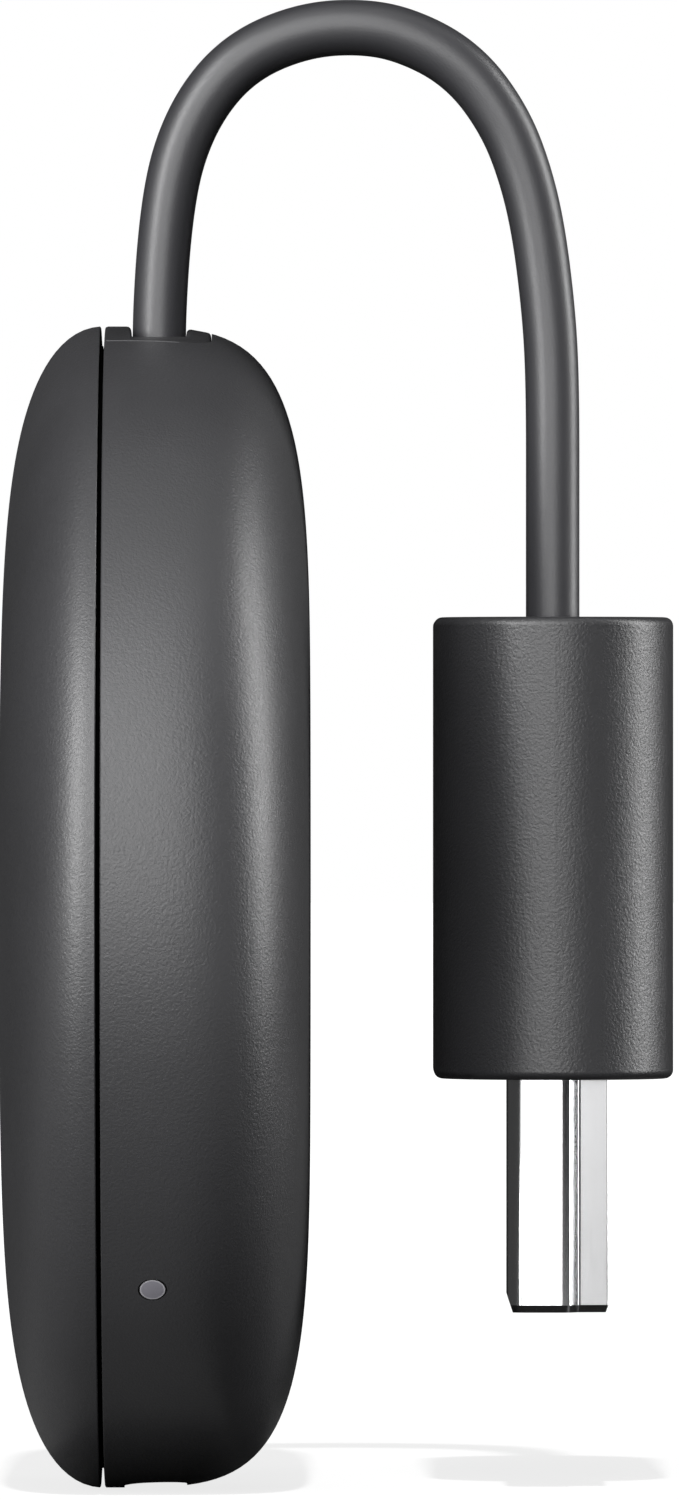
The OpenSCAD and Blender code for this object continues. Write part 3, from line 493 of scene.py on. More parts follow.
# plastics: colour, sizes of the clouds and the grain and depth of the bump in millimetres,
# roughness and refractive index
plasticValues = ("colour", "cloud", "grain", "depth", "rough", "ior")
plastics = {
    "casePlastic": ((0.027, 0.027, 0.0288), 9, 0.115, 0.015, 0.42, 1.57),
    "housingPlastic": ((0.022, 0.022, 0.0235), 7, 0.11, 0.016, 0.385, 1.57),
    "collarPlastic": ((0.019, 0.019, 0.0203), 3, 0.12, 0.004, 0.45, 1.55),
    "buttonPlastic": ((0.025, 0.025, 0.0265), 1, 0.14, 0.004, 0.42, 1.55),
    "chipResin": ((0.016, 0.016, 0.017), 4, 0.08, 0.003, 0.5, 1.5),
    "blackInsulator": ((0.012, 0.012, 0.013), 3, 0.1, 0.003, 0.42, 1.45),
    "thermalPad": ((0.24, 0.30, 0.36), 2, 0.3, 0.02, 0.75, 1.4),
    "ferriteBlock": ((0.045, 0.043, 0.042), 1, 0.1, 0.008, 0.62, 1.5),
    "ceramicBlock": ((0.34, 0.24, 0.15), 1, 0.08, 0.003, 0.45, 1.5),
    "whitePlastic": ((0.66, 0.66, 0.63), 1, 0.1, 0.003, 0.4, 1.45),
    "ledResin": ((0.72, 0.68, 0.42), 0.6, 0.1, 0.003, 0.3, 1.5),
    "innerMould": ((0.55, 0.5, 0.41), 3, 0.2, 0.01, 0.5, 1.45),
    "wireInsulation": ((0.42, 0.1, 0.05), 0.8, 0.06, 0.002, 0.4, 1.45),
}
plasticMix = {
    "shades": (0.9, 1.1),
    "cloudDetail": 3,
    "warp": 0.7,
    "pebble": (1.3, 0.5),  # size against the grain's, and share of the height
    "dust": (0.4, 0.25),
    "roughSpread": 0.05,
    "stripeGloss": 0.5,
}


# moulded plastic: cloudy colour, leathery grain in the bump, and roughness that follows the grain.
# A stripe along one axis can paint a colour within it (then dull) as painted shade, or beyond it as a
# painted highlight
def mouldedPlastic(name, stripe=None):
    look = dict(zip(plasticValues, plastics[name]))
    material, tree, shader = newFinish(name)
    place = objectPlace(tree)
    cloud = noiseAt(tree, place, look["cloud"], plasticMix["cloudDetail"])
    colour = cloudyColour(tree, cloud, look["colour"], *plasticMix["shades"])
    height = wrinkle = noiseAt(tree, place, look["grain"], distortion=plasticMix["warp"])
    pebble = cellsAt(tree, place, look["grain"] * plasticMix["pebble"][0])
    dust = noiseAt(tree, place, look["grain"] * plasticMix["dust"][0], detail=1)
    for part, share in ((pebble, plasticMix["pebble"][1]), (dust, plasticMix["dust"][1])):
        height = mathOf(tree, "ADD", height, mathOf(tree, "MULTIPLY", part, share))
    setInputs(tree, shader, {
        "Base Color": colour,
        "Normal": bumpOf(tree, height, look["depth"]),
        "Roughness": rangeOf(tree, wrinkle, middling, look["rough"] - plasticMix["roughSpread"],
                             look["rough"] + plasticMix["roughSpread"]),
        "IOR": look["ior"]})
    if stripe:
        along = addNode(tree, "SeparateXYZ", {0: place}).outputs[stripe["axis"]]
        away = mathOf(tree, "ABSOLUTE", mathOf(tree, "SUBTRACT", along, stripe["middle"] * mm))
        beyond = mathOf(tree, "GREATER_THAN", away, stripe["half"] * mm)
        sides = {"Fac": beyond, "Color1": colour, "Color2": colour}
        # painted shade within the stripe, without gloss
        if "within" in stripe:
            sides["Color1"] = (*stripe["within"], 1)
            gloss = mathOf(tree, "MULTIPLY", beyond, plasticMix["stripeGloss"])
            setInputs(tree, shader, {"Specular IOR Level": gloss})
        # painted highlight beyond the stripe
        if "beyond" in stripe:
            sides["Color2"] = (*stripe["beyond"], 1)
        setInputs(tree, shader, {"Base Color": addNode(tree, "MixRGB", sides).outputs[0]})
    return material


# the plane where the case's halves meet, painted shade that darkens its groove, and a painted highlight as
# a light line at the collar's ends
seamX = -2.35
# painted shade: the groove between the halves is painted near black and dull
seamShadeStripe = {"axis": "X", "middle": seamX, "half": 0.104, "within": (0.002, 0.002, 0.002)}
# painted highlight: a lighter band along the collar's front and back ends
collarHighlightStripe = {"axis": "Y", "middle": 0, "half": 6.04, "beyond": (0.075, 0.075, 0.078)}
casePlastic = mouldedPlastic("casePlastic", seamShadeStripe)
housingPlastic = mouldedPlastic("housingPlastic")
collarPlastic = mouldedPlastic("collarPlastic", collarHighlightStripe)
buttonPlastic = mouldedPlastic("buttonPlastic")

jacketLook = {
    "colour": (0.025, 0.025, 0.0275),
    "shades": (0.93, 1.07),
    "cloud": 4,
    "grain": 0.09,
    "warp": 0.4,
    "drawn": (1, 0.6, 1),
    "depth": 0.006,
    "rough": (0.38, 0.46),
    "ior": 1.57,
}


# soft jacket: fine grain drawn out along the lead, on its own map in metres
def jacketFinish(name, look):
    material, tree, shader = newFinish(name)
    place = addNode(tree, "UVMap", uv_map="jacket").outputs[0]
    place = addNode(tree, "Mapping", {"Vector": place, "Scale": look["drawn"]}).outputs[0]
    cloud = noiseAt(tree, place, look["cloud"])
    grain = noiseAt(tree, place, look["grain"], distortion=look["warp"])
    setInputs(tree, shader, {
        "Base Color": cloudyColour(tree, cloud, look["colour"], *look["shades"]),
        "Normal": bumpOf(tree, grain, look["depth"]),
        "Roughness": rangeOf(tree, grain, middling, *look["rough"]),
        "IOR": look["ior"]})
    return material


jacket = jacketFinish("jacketRubber", jacketLook)

# metals: colour, sizes of the drawn lines and the clouds, the axis that the lines follow, depth of
# the bump, and least and greatest roughness
metalValues = ("colour", "line", "cloud", "along", "depth", "rough")
metals = {
    "plugNickel": ((0.83, 0.83, 0.84), 0.06, 2, 2, 0.00002, (0.14, 0.17)),
    "tinnedSheet": ((0.72, 0.73, 0.74), 0.12, 3, 1, 0.001, (0.23, 0.37)),
    "goldPlate": ((0.83, 0.62, 0.27), 0.05, 1.5, 2, 0.0005, (0.15, 0.25)),
    "spreaderMetal": ((0.62, 0.63, 0.65), 0.2, 5, 1, 0.003, (0.3, 0.46)),
    "screwSteel": ((0.55, 0.55, 0.56), 0.05, 1, 0, 0.001, (0.21, 0.35)),
}
metalMix = {
    "drawn": 0.04,  # scale of the lines' noise along them, against 1 across them
    "lineDetail": 3,
    "lineSpan": (0.35, 0.65),
    "shades": (0.96, 1),
}


# plated or bare metal with faint drawn lines along one axis and a little cloudiness
def metalFinish(name):
    look = dict(zip(metalValues, metals[name]))
    material, tree, shader = newFinish(name)
    stretch = [1, 1, 1]
    stretch[look["along"]] = metalMix["drawn"]
    lines = noiseAt(tree, objectPlace(tree, stretch), look["line"], metalMix["lineDetail"])
    cloud = noiseAt(tree, objectPlace(tree), look["cloud"])
    setInputs(tree, shader, {
        "Base Color": cloudyColour(tree, cloud, look["colour"], *metalMix["shades"]),
        "Roughness": rangeOf(tree, lines, metalMix["lineSpan"], *look["rough"]),
        "Normal": bumpOf(tree, lines, look["depth"]),
        "Metallic": 1})
    return material


nickel, tin, gold, aluminium, screwSteel = [metalFinish(name) for name in metals]
print("main finishes made")

# the case: two spun halves that meet at the seam
case = {
    "radius": 25.9,
    "seamX": seamX,
    "coverDepth": 4.55,
    "shellDepth": 9.25,
    "coverPowers": (2.1, 5),  # exponents of the outline along the case axis and across it
    "shellPowers": (4.1, 5.8),
    "faceWall": 1.2,
    "rimWall": 1.8,
    "seamWide": 0.2,
    "seamDeep": 0.87,
    "apart": 0.005,  # how far each half stays from the seam's plane
    "edge": 0.05,
    "lipOut": 24.05,
    "lipIn": 23.45,
    "lipReach": 1.2,
    "innerLow": (0.1, 0.3),  # where the inner walls start, over the cover's lip and over the seam
    "fineStep": 0.4,
    "coarseStep": 1.2,
    "samples": 4000,
    "around": 192,
    "smooth": 30,
}


# half outline from the middle of the face to the rim, as (height over the seam, radius)
def bowlLine(radius, depth, powers, step, lowest):
    line = [(depth, 0.0)]
    for sample in range(case["samples"], -1, -1):
        turn = math.pi / 2 * sample / case["samples"]
        radiusHere = radius * math.cos(turn) ** (2 / powers[1])
        height = depth * math.sin(turn) ** (2 / powers[0])
        if height < lowest:
            break
        if math.dist(line[-1], (height, radiusHere)) >= step:
            line.append((height, radiusHere))
    return line


def outerLine(depth, powers, step):
    low = case["seamWide"] / 2 + case["edge"]
    return bowlLine(case["radius"], depth, powers, step, low + step / 2) + [
        (low, case["radius"]),
        (case["seamWide"] / 2, case["radius"] - case["edge"]),
        (case["seamWide"] / 4, case["radius"] - case["seamDeep"]),
        (case["apart"], case["radius"] - case["seamDeep"]),
    ]


innerRadius = case["radius"] - case["rimWall"]
coverInner = bowlLine(innerRadius, case["coverDepth"] - case["faceWall"], case["coverPowers"],
                      case["coarseStep"], case["lipReach"] + case["innerLow"][0])
coverLip = [(case["apart"], case["lipOut"]), (-case["lipReach"], case["lipOut"]),
            (-case["lipReach"], case["lipIn"]), (case["lipReach"], case["lipIn"])]
coverLine = outerLine(case["coverDepth"], case["coverPowers"], case["fineStep"])
coverLine += coverLip + coverInner[::-1]
frontCover = spinLine("frontCover", [(case["seamX"] - h, r) for h, r in coverLine], case["around"])

shellInner = bowlLine(innerRadius, case["shellDepth"] - case["faceWall"], case["shellPowers"],
                      case["coarseStep"], case["innerLow"][1])
shellLine = outerLine(case["shellDepth"], case["shellPowers"], case["fineStep"])
shellLine += [(case["apart"], innerRadius)] + shellInner[::-1]
rearShell = spinLine("rearShell", [(case["seamX"] + h, r) for h, r in shellLine], case["around"])
print("case halves spun")

# openings of the case
opening = {
    "collarWide": 12.4,
    "collarRear": 4.85,
    "collarRound": (1.8, 10),
    "past": 1,  # how far the cutters stand out of the case
    "socket": (2.8, 8.1),
    "socketRest": 0.01,
    "socketSteps": 12,
    "pocket": (2.8, 7.8, 25.15),
    "deep": 8,
    "lightAngle": -50,
    "lightHole": 1.28,
    "buttonAngle": 49.5,
    "buttonHole": 2.4,
    "rimHole": (20, 27),  # radii between which the round holes run
    "lipTop": (6.3, 40, 50),  # the gaps in the cover's lip: half width, low and high
    "lipLow": (4.05, 1.8, 10),
}


# a round rod along the line from the case axis out through the rim
def rimRod(name, angle, diameter):
    turn = math.radians(angle)
    low, high = opening["rimHole"]
    middle = (low + high) / 2
    deselectAll()
    bpy.ops.mesh.primitive_cylinder_add(
        vertices=shaping["rodFaces"], radius=diameter / 2 * mm, depth=(high - low) * mm,
        location=(0, middle * math.sin(turn) * mm, (case["radius"] - middle * math.cos(turn)) * mm),
        rotation=(math.pi + turn, 0, 0))
    piece = named(name)
    settle(piece)
    return piece


def collarPrism(name, gap, low):
    rear = case["seamX"] + opening["collarRear"] - gap
    half = opening["collarWide"] / 2 - gap
    radius, steps = opening["collarRound"]
    piece = block(name, (case["seamX"] - opening["past"], -half, low),
                  (rear, half, 2 * case["radius"] + opening["past"]))
    roundEdges(piece, 2, radius - gap, steps, lambda middle: middle.x > case["seamX"])
    return piece


# an upright block about the Z axis
def middleBlock(name, thick, wide, low, high):
    return block(name, (-thick / 2, -wide / 2, low), (thick / 2, wide / 2, high))


def lipCutter(name, half, low, high):
    return block(name, (case["seamX"], -half, low), (0, half, high))


rimBody = copyOf(rearShell, "rimBody")
socketCutter = middleBlock("socketCutter", *opening["socket"], -opening["past"], opening["deep"])
roundEdges(socketCutter, 2, opening["socket"][0] / 2 - opening["socketRest"], opening["socketSteps"])
pocketCutter = middleBlock("pocketCutter", *opening["pocket"][:2], case["radius"] - opening["pocket"][2],
                           opening["deep"])
cut(rearShell, collarPrism("collarCutter", 0, case["radius"]), socketCutter, pocketCutter,
    rimRod("lightCutter", opening["lightAngle"], opening["lightHole"]),
    rimRod("buttonCutter", opening["buttonAngle"], opening["buttonHole"]))
cut(frontCover, lipCutter("lipTopCutter", *opening["lipTop"]),
    lipCutter("lipLowCutter", *opening["lipLow"]))
for piece in (frontCover, rearShell):
    smooth(piece, case["smooth"])
dress(frontCover, "puck", "case_plastic", casePlastic, "front_cover")
dress(rearShell, "puck", "case_plastic", casePlastic, "rear_shell")
print("case openings cut")

dress(leadPiece, "puck", "lead_jacket", jacket, "lead_cable")

# collar: the strain relief that the lead leaves by, level with the rim
collar = {
    "front": -2.249,
    "gap": 0.04,
    "low": 49,
    "cutter": (8, 46, 54),  # half width, low and high of what trims it
    "flange": ((-2.249, -6.7, 47.4), (2.8, 6.7, 49.9)),
    "flangeSteps": 6,
    "scoop": ((-1.1, -5.9, 50.6), (1.37, 5.9, 54)),
    "scoopRound": (82, 51.346),  # radius and top of the scoop's floor
    "scoopSteps": 720,
    "scoopLong": 10,
    "edge": (0.04, 2),  # bevels: reach and faces
    "sideEdge": (0.13, 4),
    "scoopEdge": (0.2, 4),
    "edgesFrom": 50.2,  # the bevelled edges lie over this height,
    "sidesFrom": (1.75, 5.95),  # those at its sides past this x or y,
    "scoopFrom": (4.2, 51.36),  # and the scoop's within this y and over this height
    "acrossCuts": (-2.13, -1.6, -0.8, 0, 0.8, 1.6, 2.2),
    "alongStep": 0.55,
    "smooth": 32,
}
cableCollar = collarPrism("cableCollar", collar["gap"], collar["low"])
half, low, high = collar["cutter"]
cut(cableCollar, block("collarFront", (case["seamX"] - 2 * opening["past"], -half, low),
                       (collar["front"], half, high)))
collarFlange = block("collarFlange", *collar["flange"])
roundEdges(collarFlange, 2, opening["collarRound"][0], collar["flangeSteps"], lambda middle: middle.x > 0)
join(cableCollar, collarFlange)
cut(cableCollar, ovalRod("passageCutter", *lead["opening"], lead["exit"][0], low, high))
slices(cableCollar, 0, collar["acrossCuts"])
count = round(opening["collarWide"] / collar["alongStep"])
slices(cableCollar, 1, [opening["collarWide"] * (k / count - 0.5) for k in range(1, count)])

# its top is laid on the rim
topGroup = cableCollar.vertex_groups.new(name="top")
topFrom = (2 * case["radius"] + opening["past"] / 2) * mm
topGroup.add([vert.index for vert in cableCollar.data.vertices if vert.co.z > topFrom], 1, "REPLACE")
useModifier(cableCollar, "SHRINKWRAP", wrap_method="PROJECT", target=rimBody, vertex_group="top",
            use_project_z=True, use_negative_direction=True, use_positive_direction=False)
discard(rimBody)
sideX, sideY = collar["sidesFrom"]
sharpBevel(cableCollar, *collar["sideEdge"], lambda at: at.z > collar["edgesFrom"]
           and at.x > collar["front"] + same and (at.x > sideX or abs(at.y) > sideY))
sharpBevel(cableCollar, *collar["edge"], lambda at: at.z > collar["edgesFrom"]
           and at.x < collar["front"] + same)

# the scoop round the lead
scoopCutter = block("scoopCutter", *collar["scoop"])
deselectAll()
bpy.ops.mesh.primitive_cylinder_add(
    vertices=collar["scoopSteps"], radius=collar["scoopRound"][0] * mm, depth=collar["scoopLong"] * mm,
    location=(0, 0, (collar["scoopRound"][1] - collar["scoopRound"][0]) * mm), rotation=(0, math.pi / 2, 0))
scoopFloor = named("scoopFloor")
settle(scoopFloor)
cut(scoopCutter, scoopFloor)
cut(cableCollar, scoopCutter)
scoopWalls = [corner[0] for corner in collar["scoop"]]
scoopY, scoopZ = collar["scoopFrom"]
sharpBevel(cableCollar, *collar["scoopEdge"], lambda at: abs(at.y) < scoopY and at.z > scoopZ
           and min(abs(at.x - wall) for wall in scoopWalls) < same)
smoothFlat(cableCollar, collar["smooth"])
dress(cableCollar, "puck", "collar_plastic", collarPlastic, "cable_collar")
print("collar made")

# small window of the light, and the recessed button, both drawn upright and turned to the rim
rimParts = {
    "lens": (1.24, 23.1, 25.87, 0.03),  # rods: diameter, low and high, and the rounding of the top
    "lensBlock": ((-1.15, -1, 21.75), (0.65, 1, 23.4)),
    "cap": (2.2, 23.66, 25.78, 0.13),
    "flange": ((-0.95, -2.1, 23.46), (0.95, 2.1, 23.96)),
    "stem": (1.4, 22.45, 23.6),
    "smooth": 40,
}
lightLens = uprightRod("lightLens", *rimParts["lens"])
join(lightLens, block("lensBlock", *rimParts["lensBlock"]))
toRim(lightLens, opening["lightAngle"])
smooth(lightLens, rimParts["smooth"])
resetButton = uprightRod("resetButton", *rimParts["cap"])
join(resetButton, block("buttonFlange", *rimParts["flange"]), uprightRod("buttonStem", *rimParts["stem"]))
toRim(resetButton, opening["buttonAngle"])
smooth(resetButton, rimParts["smooth"])
print("light and button made")

# housing of the plug
housing = {
    "middle": 17.7,
    "thick": 10.65,
    "wide": 19.8,
    "top": 38.8,
    "long": 20.5,
    "round": (5.3, 24),
    "drawn": 1.12,  # the narrow sides are rounded to half ellipses, this much deeper than round
    "edge": (0.38, 6),
    "cavity": ((13.77, -8.5, 20.8), (21.63, 8.5, 36.3)),
    "cavityRound": (3.4, 8),
    "hole": (4, 1),  # how far the lead's hole reaches below and above the top
    "smooth": 32,
}
foot = housing["top"] - housing["long"]
halfWide = housing["wide"] / 2 / housing["drawn"]
plugHousing = block(
    "plugHousing", (housing["middle"] - housing["thick"] / 2, -halfWide, foot),
    (housing["middle"] + housing["thick"] / 2, halfWide, housing["top"]))
roundEdges(plugHousing, 2, *housing["round"])
plugHousing.scale.y = housing["drawn"]
settle(plugHousing)
sharpBevel(plugHousing, *housing["edge"], lambda at: at.z < foot + same or at.z > housing["top"] - same)
cavityCutter = block("cavityCutter", *housing["cavity"])
roundEdges(cavityCutter, 2, *housing["cavityRound"])
holeCutter = ovalRod("holeCutter", *lead["opening"], housing["middle"], housing["top"] - housing["hole"][0],
                     housing["top"] + housing["hole"][1])
print("housing made")

# metal shell of the plug: 19-pin outline, wide side towards the puck
plug = {
    "middle": 17.9,
    "thick": 4.45,
    "wide": 13.9,
    "narrow": 12.3,
    "draft": 0.182,  # how much the narrow side closes in towards its face
    "side": 2.63,  # how far the wide part goes straight, and where the shoulder ends
    "shoulder": 3.145,
    "slant": 1.5,  # how far the shoulder moves out for each millimetre that the outline grows
    "tip": 7.95,
    "back": 24.3,
    "wall": 0.3,
    "roundWide": (0.78, 6),  # roundings: length along the sides, and steps
    "roundNarrow": (0.08, 5),
    "roundSide": (0.3, 6),
    "roundShoulder": (0.08, 6),
    "lip": 0.33,  # the tip closes in over this height, to these shares of its thickness and width
    "lipShare": (0.948, 0.982),
    "tipSlope": (0.2, 0.6),  # slope at the tip of the wide face: depth and height
    "slopeBlock": ((-3, -8, -3), (0, 8, 3)),
    "gap": 0.04,  # what the housing leaves open round it
    "hole": (1, 4),  # start of the housing's hole below its foot, and height
    "smooth": 17,
}


def plugOutline(name, grow, z):
    low = plug["middle"] - plug["thick"] / 2 - grow
    high = plug["middle"] + plug["thick"] / 2 + grow
    side = low + plug["side"] + grow * plug["slant"]
    shoulder = low + plug["shoulder"] + grow * plug["slant"]
    wide = plug["wide"] / 2 + grow
    narrow = plug["narrow"] / 2 + grow
    tight = narrow - plug["draft"]
    face = outlineFace(name, [(low, wide), (side, wide), (shoulder, narrow), (high, tight),
                              (high, -tight), (shoulder, -narrow), (side, -wide), (low, -wide)], z)
    roundCorners(face, *plug["roundWide"], lambda at: at.x < low + same)
    roundCorners(face, *plug["roundNarrow"], lambda at: at.x > high - same)
    roundCorners(face, *plug["roundSide"], lambda at: abs(at.x - side) < same)
    roundCorners(face, *plug["roundShoulder"], lambda at: abs(at.x - shoulder) < same)
    return face


shellCutter = plugOutline("shellCutter", plug["gap"], foot - plug["hole"][0])
raiseFace(shellCutter, plug["hole"][1])
cut(plugHousing, cavityCutter, holeCutter, shellCutter)
smoothFlat(plugHousing, housing["smooth"])
dress(plugHousing, "puck", "housing_plastic", housingPlastic, "plug_housing")

lipTop = plug["tip"] + plug["lip"]
plugShell = plugOutline("plugShell", 0, lipTop)
raiseFace(plugShell, plug["back"] - plug["tip"] - plug["lip"])
startEdit(plugShell, "FACE")
choose(plugShell, "FACE", lambda middle, normal: normal.z < -shaping["facing"])
bpy.ops.mesh.extrude_region_move(TRANSFORM_OT_translate={"value": (0, 0, -plug["lip"] * mm)})
bpy.ops.transform.resize(value=(*plug["lipShare"], 1),
                         center_override=(plug["middle"] * mm, 0, plug["tip"] * mm))
choose(plugShell, "FACE", lambda middle, normal: abs(normal.z) > shaping["facing"])
bpy.ops.mesh.delete(type="ONLY_FACE")
endEdit()
useModifier(plugShell, "SOLIDIFY", thickness=plug["wall"] * mm, offset=-1, use_even_offset=True)
depth, height = plug["tipSlope"]
slopeCutter = block("slopeCutter", *plug["slopeBlock"])
slopeCutter.rotation_euler.y = -math.atan(depth / height)
slopeCutter.location = ((plug["middle"] - plug["thick"] / 2) * mm, 0, (plug["tip"] + height) * mm)
settle(slopeCutter)
cut(plugShell, slopeCutter)
startEdit(plugShell)
choose(plugShell, "EDGE", lambda middle, along, edge: abs(middle.z / mm - lipTop) < same)
bpy.ops.mesh.mark_sharp()
endEdit()
smoothFlat(plugShell, plug["smooth"])
dress(plugShell, "puck", "plug_plating", nickel, "plug_shell")
print("plug shell made")

# power socket: folded metal shell with rounded corners, narrow side to the front, and its tongue
socket = {
    "half": 3.75,
    "thick": 2.5,
    "corner": 0.8,
    "round": (0.42, 6),
    "mouth": 0.9,
    "mouthEdge": (0.1, 3),
    "back": 6.0,
    "wall": 0.3,
    "baseInset": 0.34,
    "base": (4.42, 5.7),
    "tongue": ((0.01, -2.1, 1.62), (0.61, 2.1, 4.6)),
    "tongueEdge": (0.12, 3),
    "smooth": 35,
}


def socketOutline(name, inset, z):
    half = socket["half"] - inset
    deep = socket["thick"] / 2 - inset
    radius, steps = socket["round"]
    face = outlineFace(name, [(deep, -half), (deep, half), (0, half), (-deep, half - socket["corner"]),
                              (-deep, socket["corner"] - half), (0, -half)], z)
    roundCorners(face, radius - inset / 2, steps, lambda at: abs(at.x) > same)
    return face


socketShell = socketOutline("socketShell", 0, socket["mouth"])
raiseFace(socketShell, socket["back"] - socket["mouth"])
startEdit(socketShell, "FACE")
choose(socketShell, "FACE", lambda middle, normal: middle.z < (socket["mouth"] + same) * mm)
bpy.ops.mesh.delete(type="ONLY_FACE")
endEdit()
useModifier(socketShell, "SOLIDIFY", thickness=socket["wall"] * mm, offset=-1, use_even_offset=True)
sharpBevel(socketShell, *socket["mouthEdge"], lambda at: abs(at.z - socket["mouth"]) < same)
smoothFlat(socketShell, socket["smooth"])
socketTongue = socketOutline("socketTongue", socket["baseInset"], socket["base"][0])
raiseFace(socketTongue, socket["base"][1] - socket["base"][0])
tongue = block("tongue", *socket["tongue"])
sharpBevel(tongue, *socket["tongueEdge"], lambda at: at.z < socket["tongue"][1][2] - same)
join(socketTongue, tongue)
smoothFlat(socketTongue, socket["smooth"])
dress(socketShell, "puck", "tinned_sheet", tin, "socket_shell")
print("power socket made")

# finishes of the solids that stay, by the record's slots
nodeFinish = {
    "chip_resin": mouldedPlastic("chipResin"),
    "black_insulator": mouldedPlastic("blackInsulator"),
    "thermal_pad": mouldedPlastic("thermalPad"),
    "ferrite": mouldedPlastic("ferriteBlock"),
    "ceramic": mouldedPlastic("ceramicBlock"),
    "white_plastic": mouldedPlastic("whitePlastic"),
    "led_resin": mouldedPlastic("ledResin"),
    "inner_mould": mouldedPlastic("innerMould"),
    "wire_insulation": mouldedPlastic("wireInsulation"),
    "tinned_sheet": tin,
    "plated_copper": gold,
    "spreader_metal": aluminium,
    "screw_steel": screwSteel,
}
laminateLook = {
    "colour": (0.012, 0.07, 0.035),
    "shades": (1.15, 1.7),  # every other trace, and the gaps between them
    "trace": 0.5,
    "gap": 0.05,
    "brick": (3.7, 0.8),
    "shift": 0.37,
    "via": 2.2,
    "ring": (0.5, 0.42, 0.25),
    "ringAt": ((0.06, 0), (0.08, 1), (0.12, 1), (0.14, 0)),
    "depth": 0.01,
    "cloud": 1.5,
    "rough": (0.25, 0.45),
}


# laminate: green mask, faint straight traces and a few bright rings of vias
def laminateFinish(name, look):
    material, tree, shader = newFinish(name)
    place = objectPlace(tree)
    turned = addNode(tree, "Mapping", {"Vector": place, "Rotation": (0, math.pi / 2, 0)}).outputs[0]
    other, between = (shadeOf(look["colour"], share) for share in look["shades"])
    trace = addNode(tree, "TexBrick", {
        "Vector": turned, "Scale": 1 / (look["trace"] * mm), "Mortar Size": look["gap"],
        "Brick Width": look["brick"][0], "Row Height": look["brick"][1], "Color1": (*look["colour"], 1),
        "Color2": (*other, 1), "Mortar": (*between, 1)}, offset=look["shift"])
    vias = addNode(tree, "TexVoronoi", {"Vector": place, "Scale": 1 / (look["via"] * mm)})
    rings = rampOf(tree, vias.outputs["Distance"], *look["ringAt"])
    colour = addNode(tree, "MixRGB", {"Fac": rings, "Color1": trace.outputs["Color"],
                                      "Color2": (*look["ring"], 1)})
    setInputs(tree, shader, {
        "Base Color": colour.outputs[0],
        "Normal": bumpOf(tree, trace.outputs["Fac"], look["depth"]),
        "Roughness": rangeOf(tree, noiseAt(tree, place, look["cloud"]), (0, 1), *look["rough"])})
    return material


nodeFinish["board_laminate"] = laminateFinish("boardLaminate", laminateLook)

lensLook = {
    "radius": 0.62,
    "middle": (0.19, 0.185, 0.21),
    "rim": (0.37, 0.365, 0.39),
    # painted shade: the outer edge of the window is painted near black for the gap round it
    "gap": (0.001, 0.001, 0.001),
    "ends": (0.78, 0.83, 0.87, 0.91),  # of the middle, and of the soft step, the rim and the next step
    "cloud": 0.2,
    "rough": (0.25, 0.4),
}


# milky window: pale rim, greyer middle and painted shade as a dark ring at its edge for the shaded gap
# round it, by the distance from its own axis
def lensFinish(name, look):
    material, tree, shader = newFinish(name)
    turn = math.radians(opening["lightAngle"])
    place = addNode(tree, "TexCoord").outputs["Object"]
    axis = (0, 0, case["radius"] * mm)
    centred = addNode(tree, "VectorMath", {0: place, 1: axis}, operation="SUBTRACT")
    around = addNode(tree, "Mapping", {"Vector": centred.outputs[0], "Rotation": (-turn, 0, 0)})
    flat = addNode(tree, "VectorMath", {0: around.outputs[0], 1: (1, 1, 0)}, operation="MULTIPLY")
    away = addNode(tree, "VectorMath", {0: flat.outputs[0]}, operation="LENGTH").outputs["Value"]
    share = mathOf(tree, "DIVIDE", away, look["radius"] * mm)
    shades = [look[part] for part in ("middle", "middle", "rim", "rim", "gap")]
    setInputs(tree, shader, {
        "Base Color": rampOf(tree, share, *zip((0, *look["ends"]), shades)),
        "Roughness": rangeOf(tree, noiseAt(tree, place, look["cloud"]), (0, 1), *look["rough"])})
    return material


dress(lightLens, "puck", "milky_lens", lensFinish("milkyLens", lensLook), "light_pipe")
dress(socketTongue, "puck", "black_insulator", nodeFinish["black_insulator"], "socket_tongue")
dress(resetButton, "button", "case_plastic", buttonPlastic, "reset_button")

standIns = {"front_cover", "rear_shell", "lead_cable", "cable_collar", "light_pipe", "reset_button",
            "plug_housing", "plug_shell", "socket_shell", "socket_tongue"}
for row in frame["record"]["subparts"]:
    if row["node"] in standIns:
        continue
    for slot in bpy.data.objects[row["node"]].material_slots:
        slot.material = nodeFinish[row["material_slot"]]
print("solids finished")

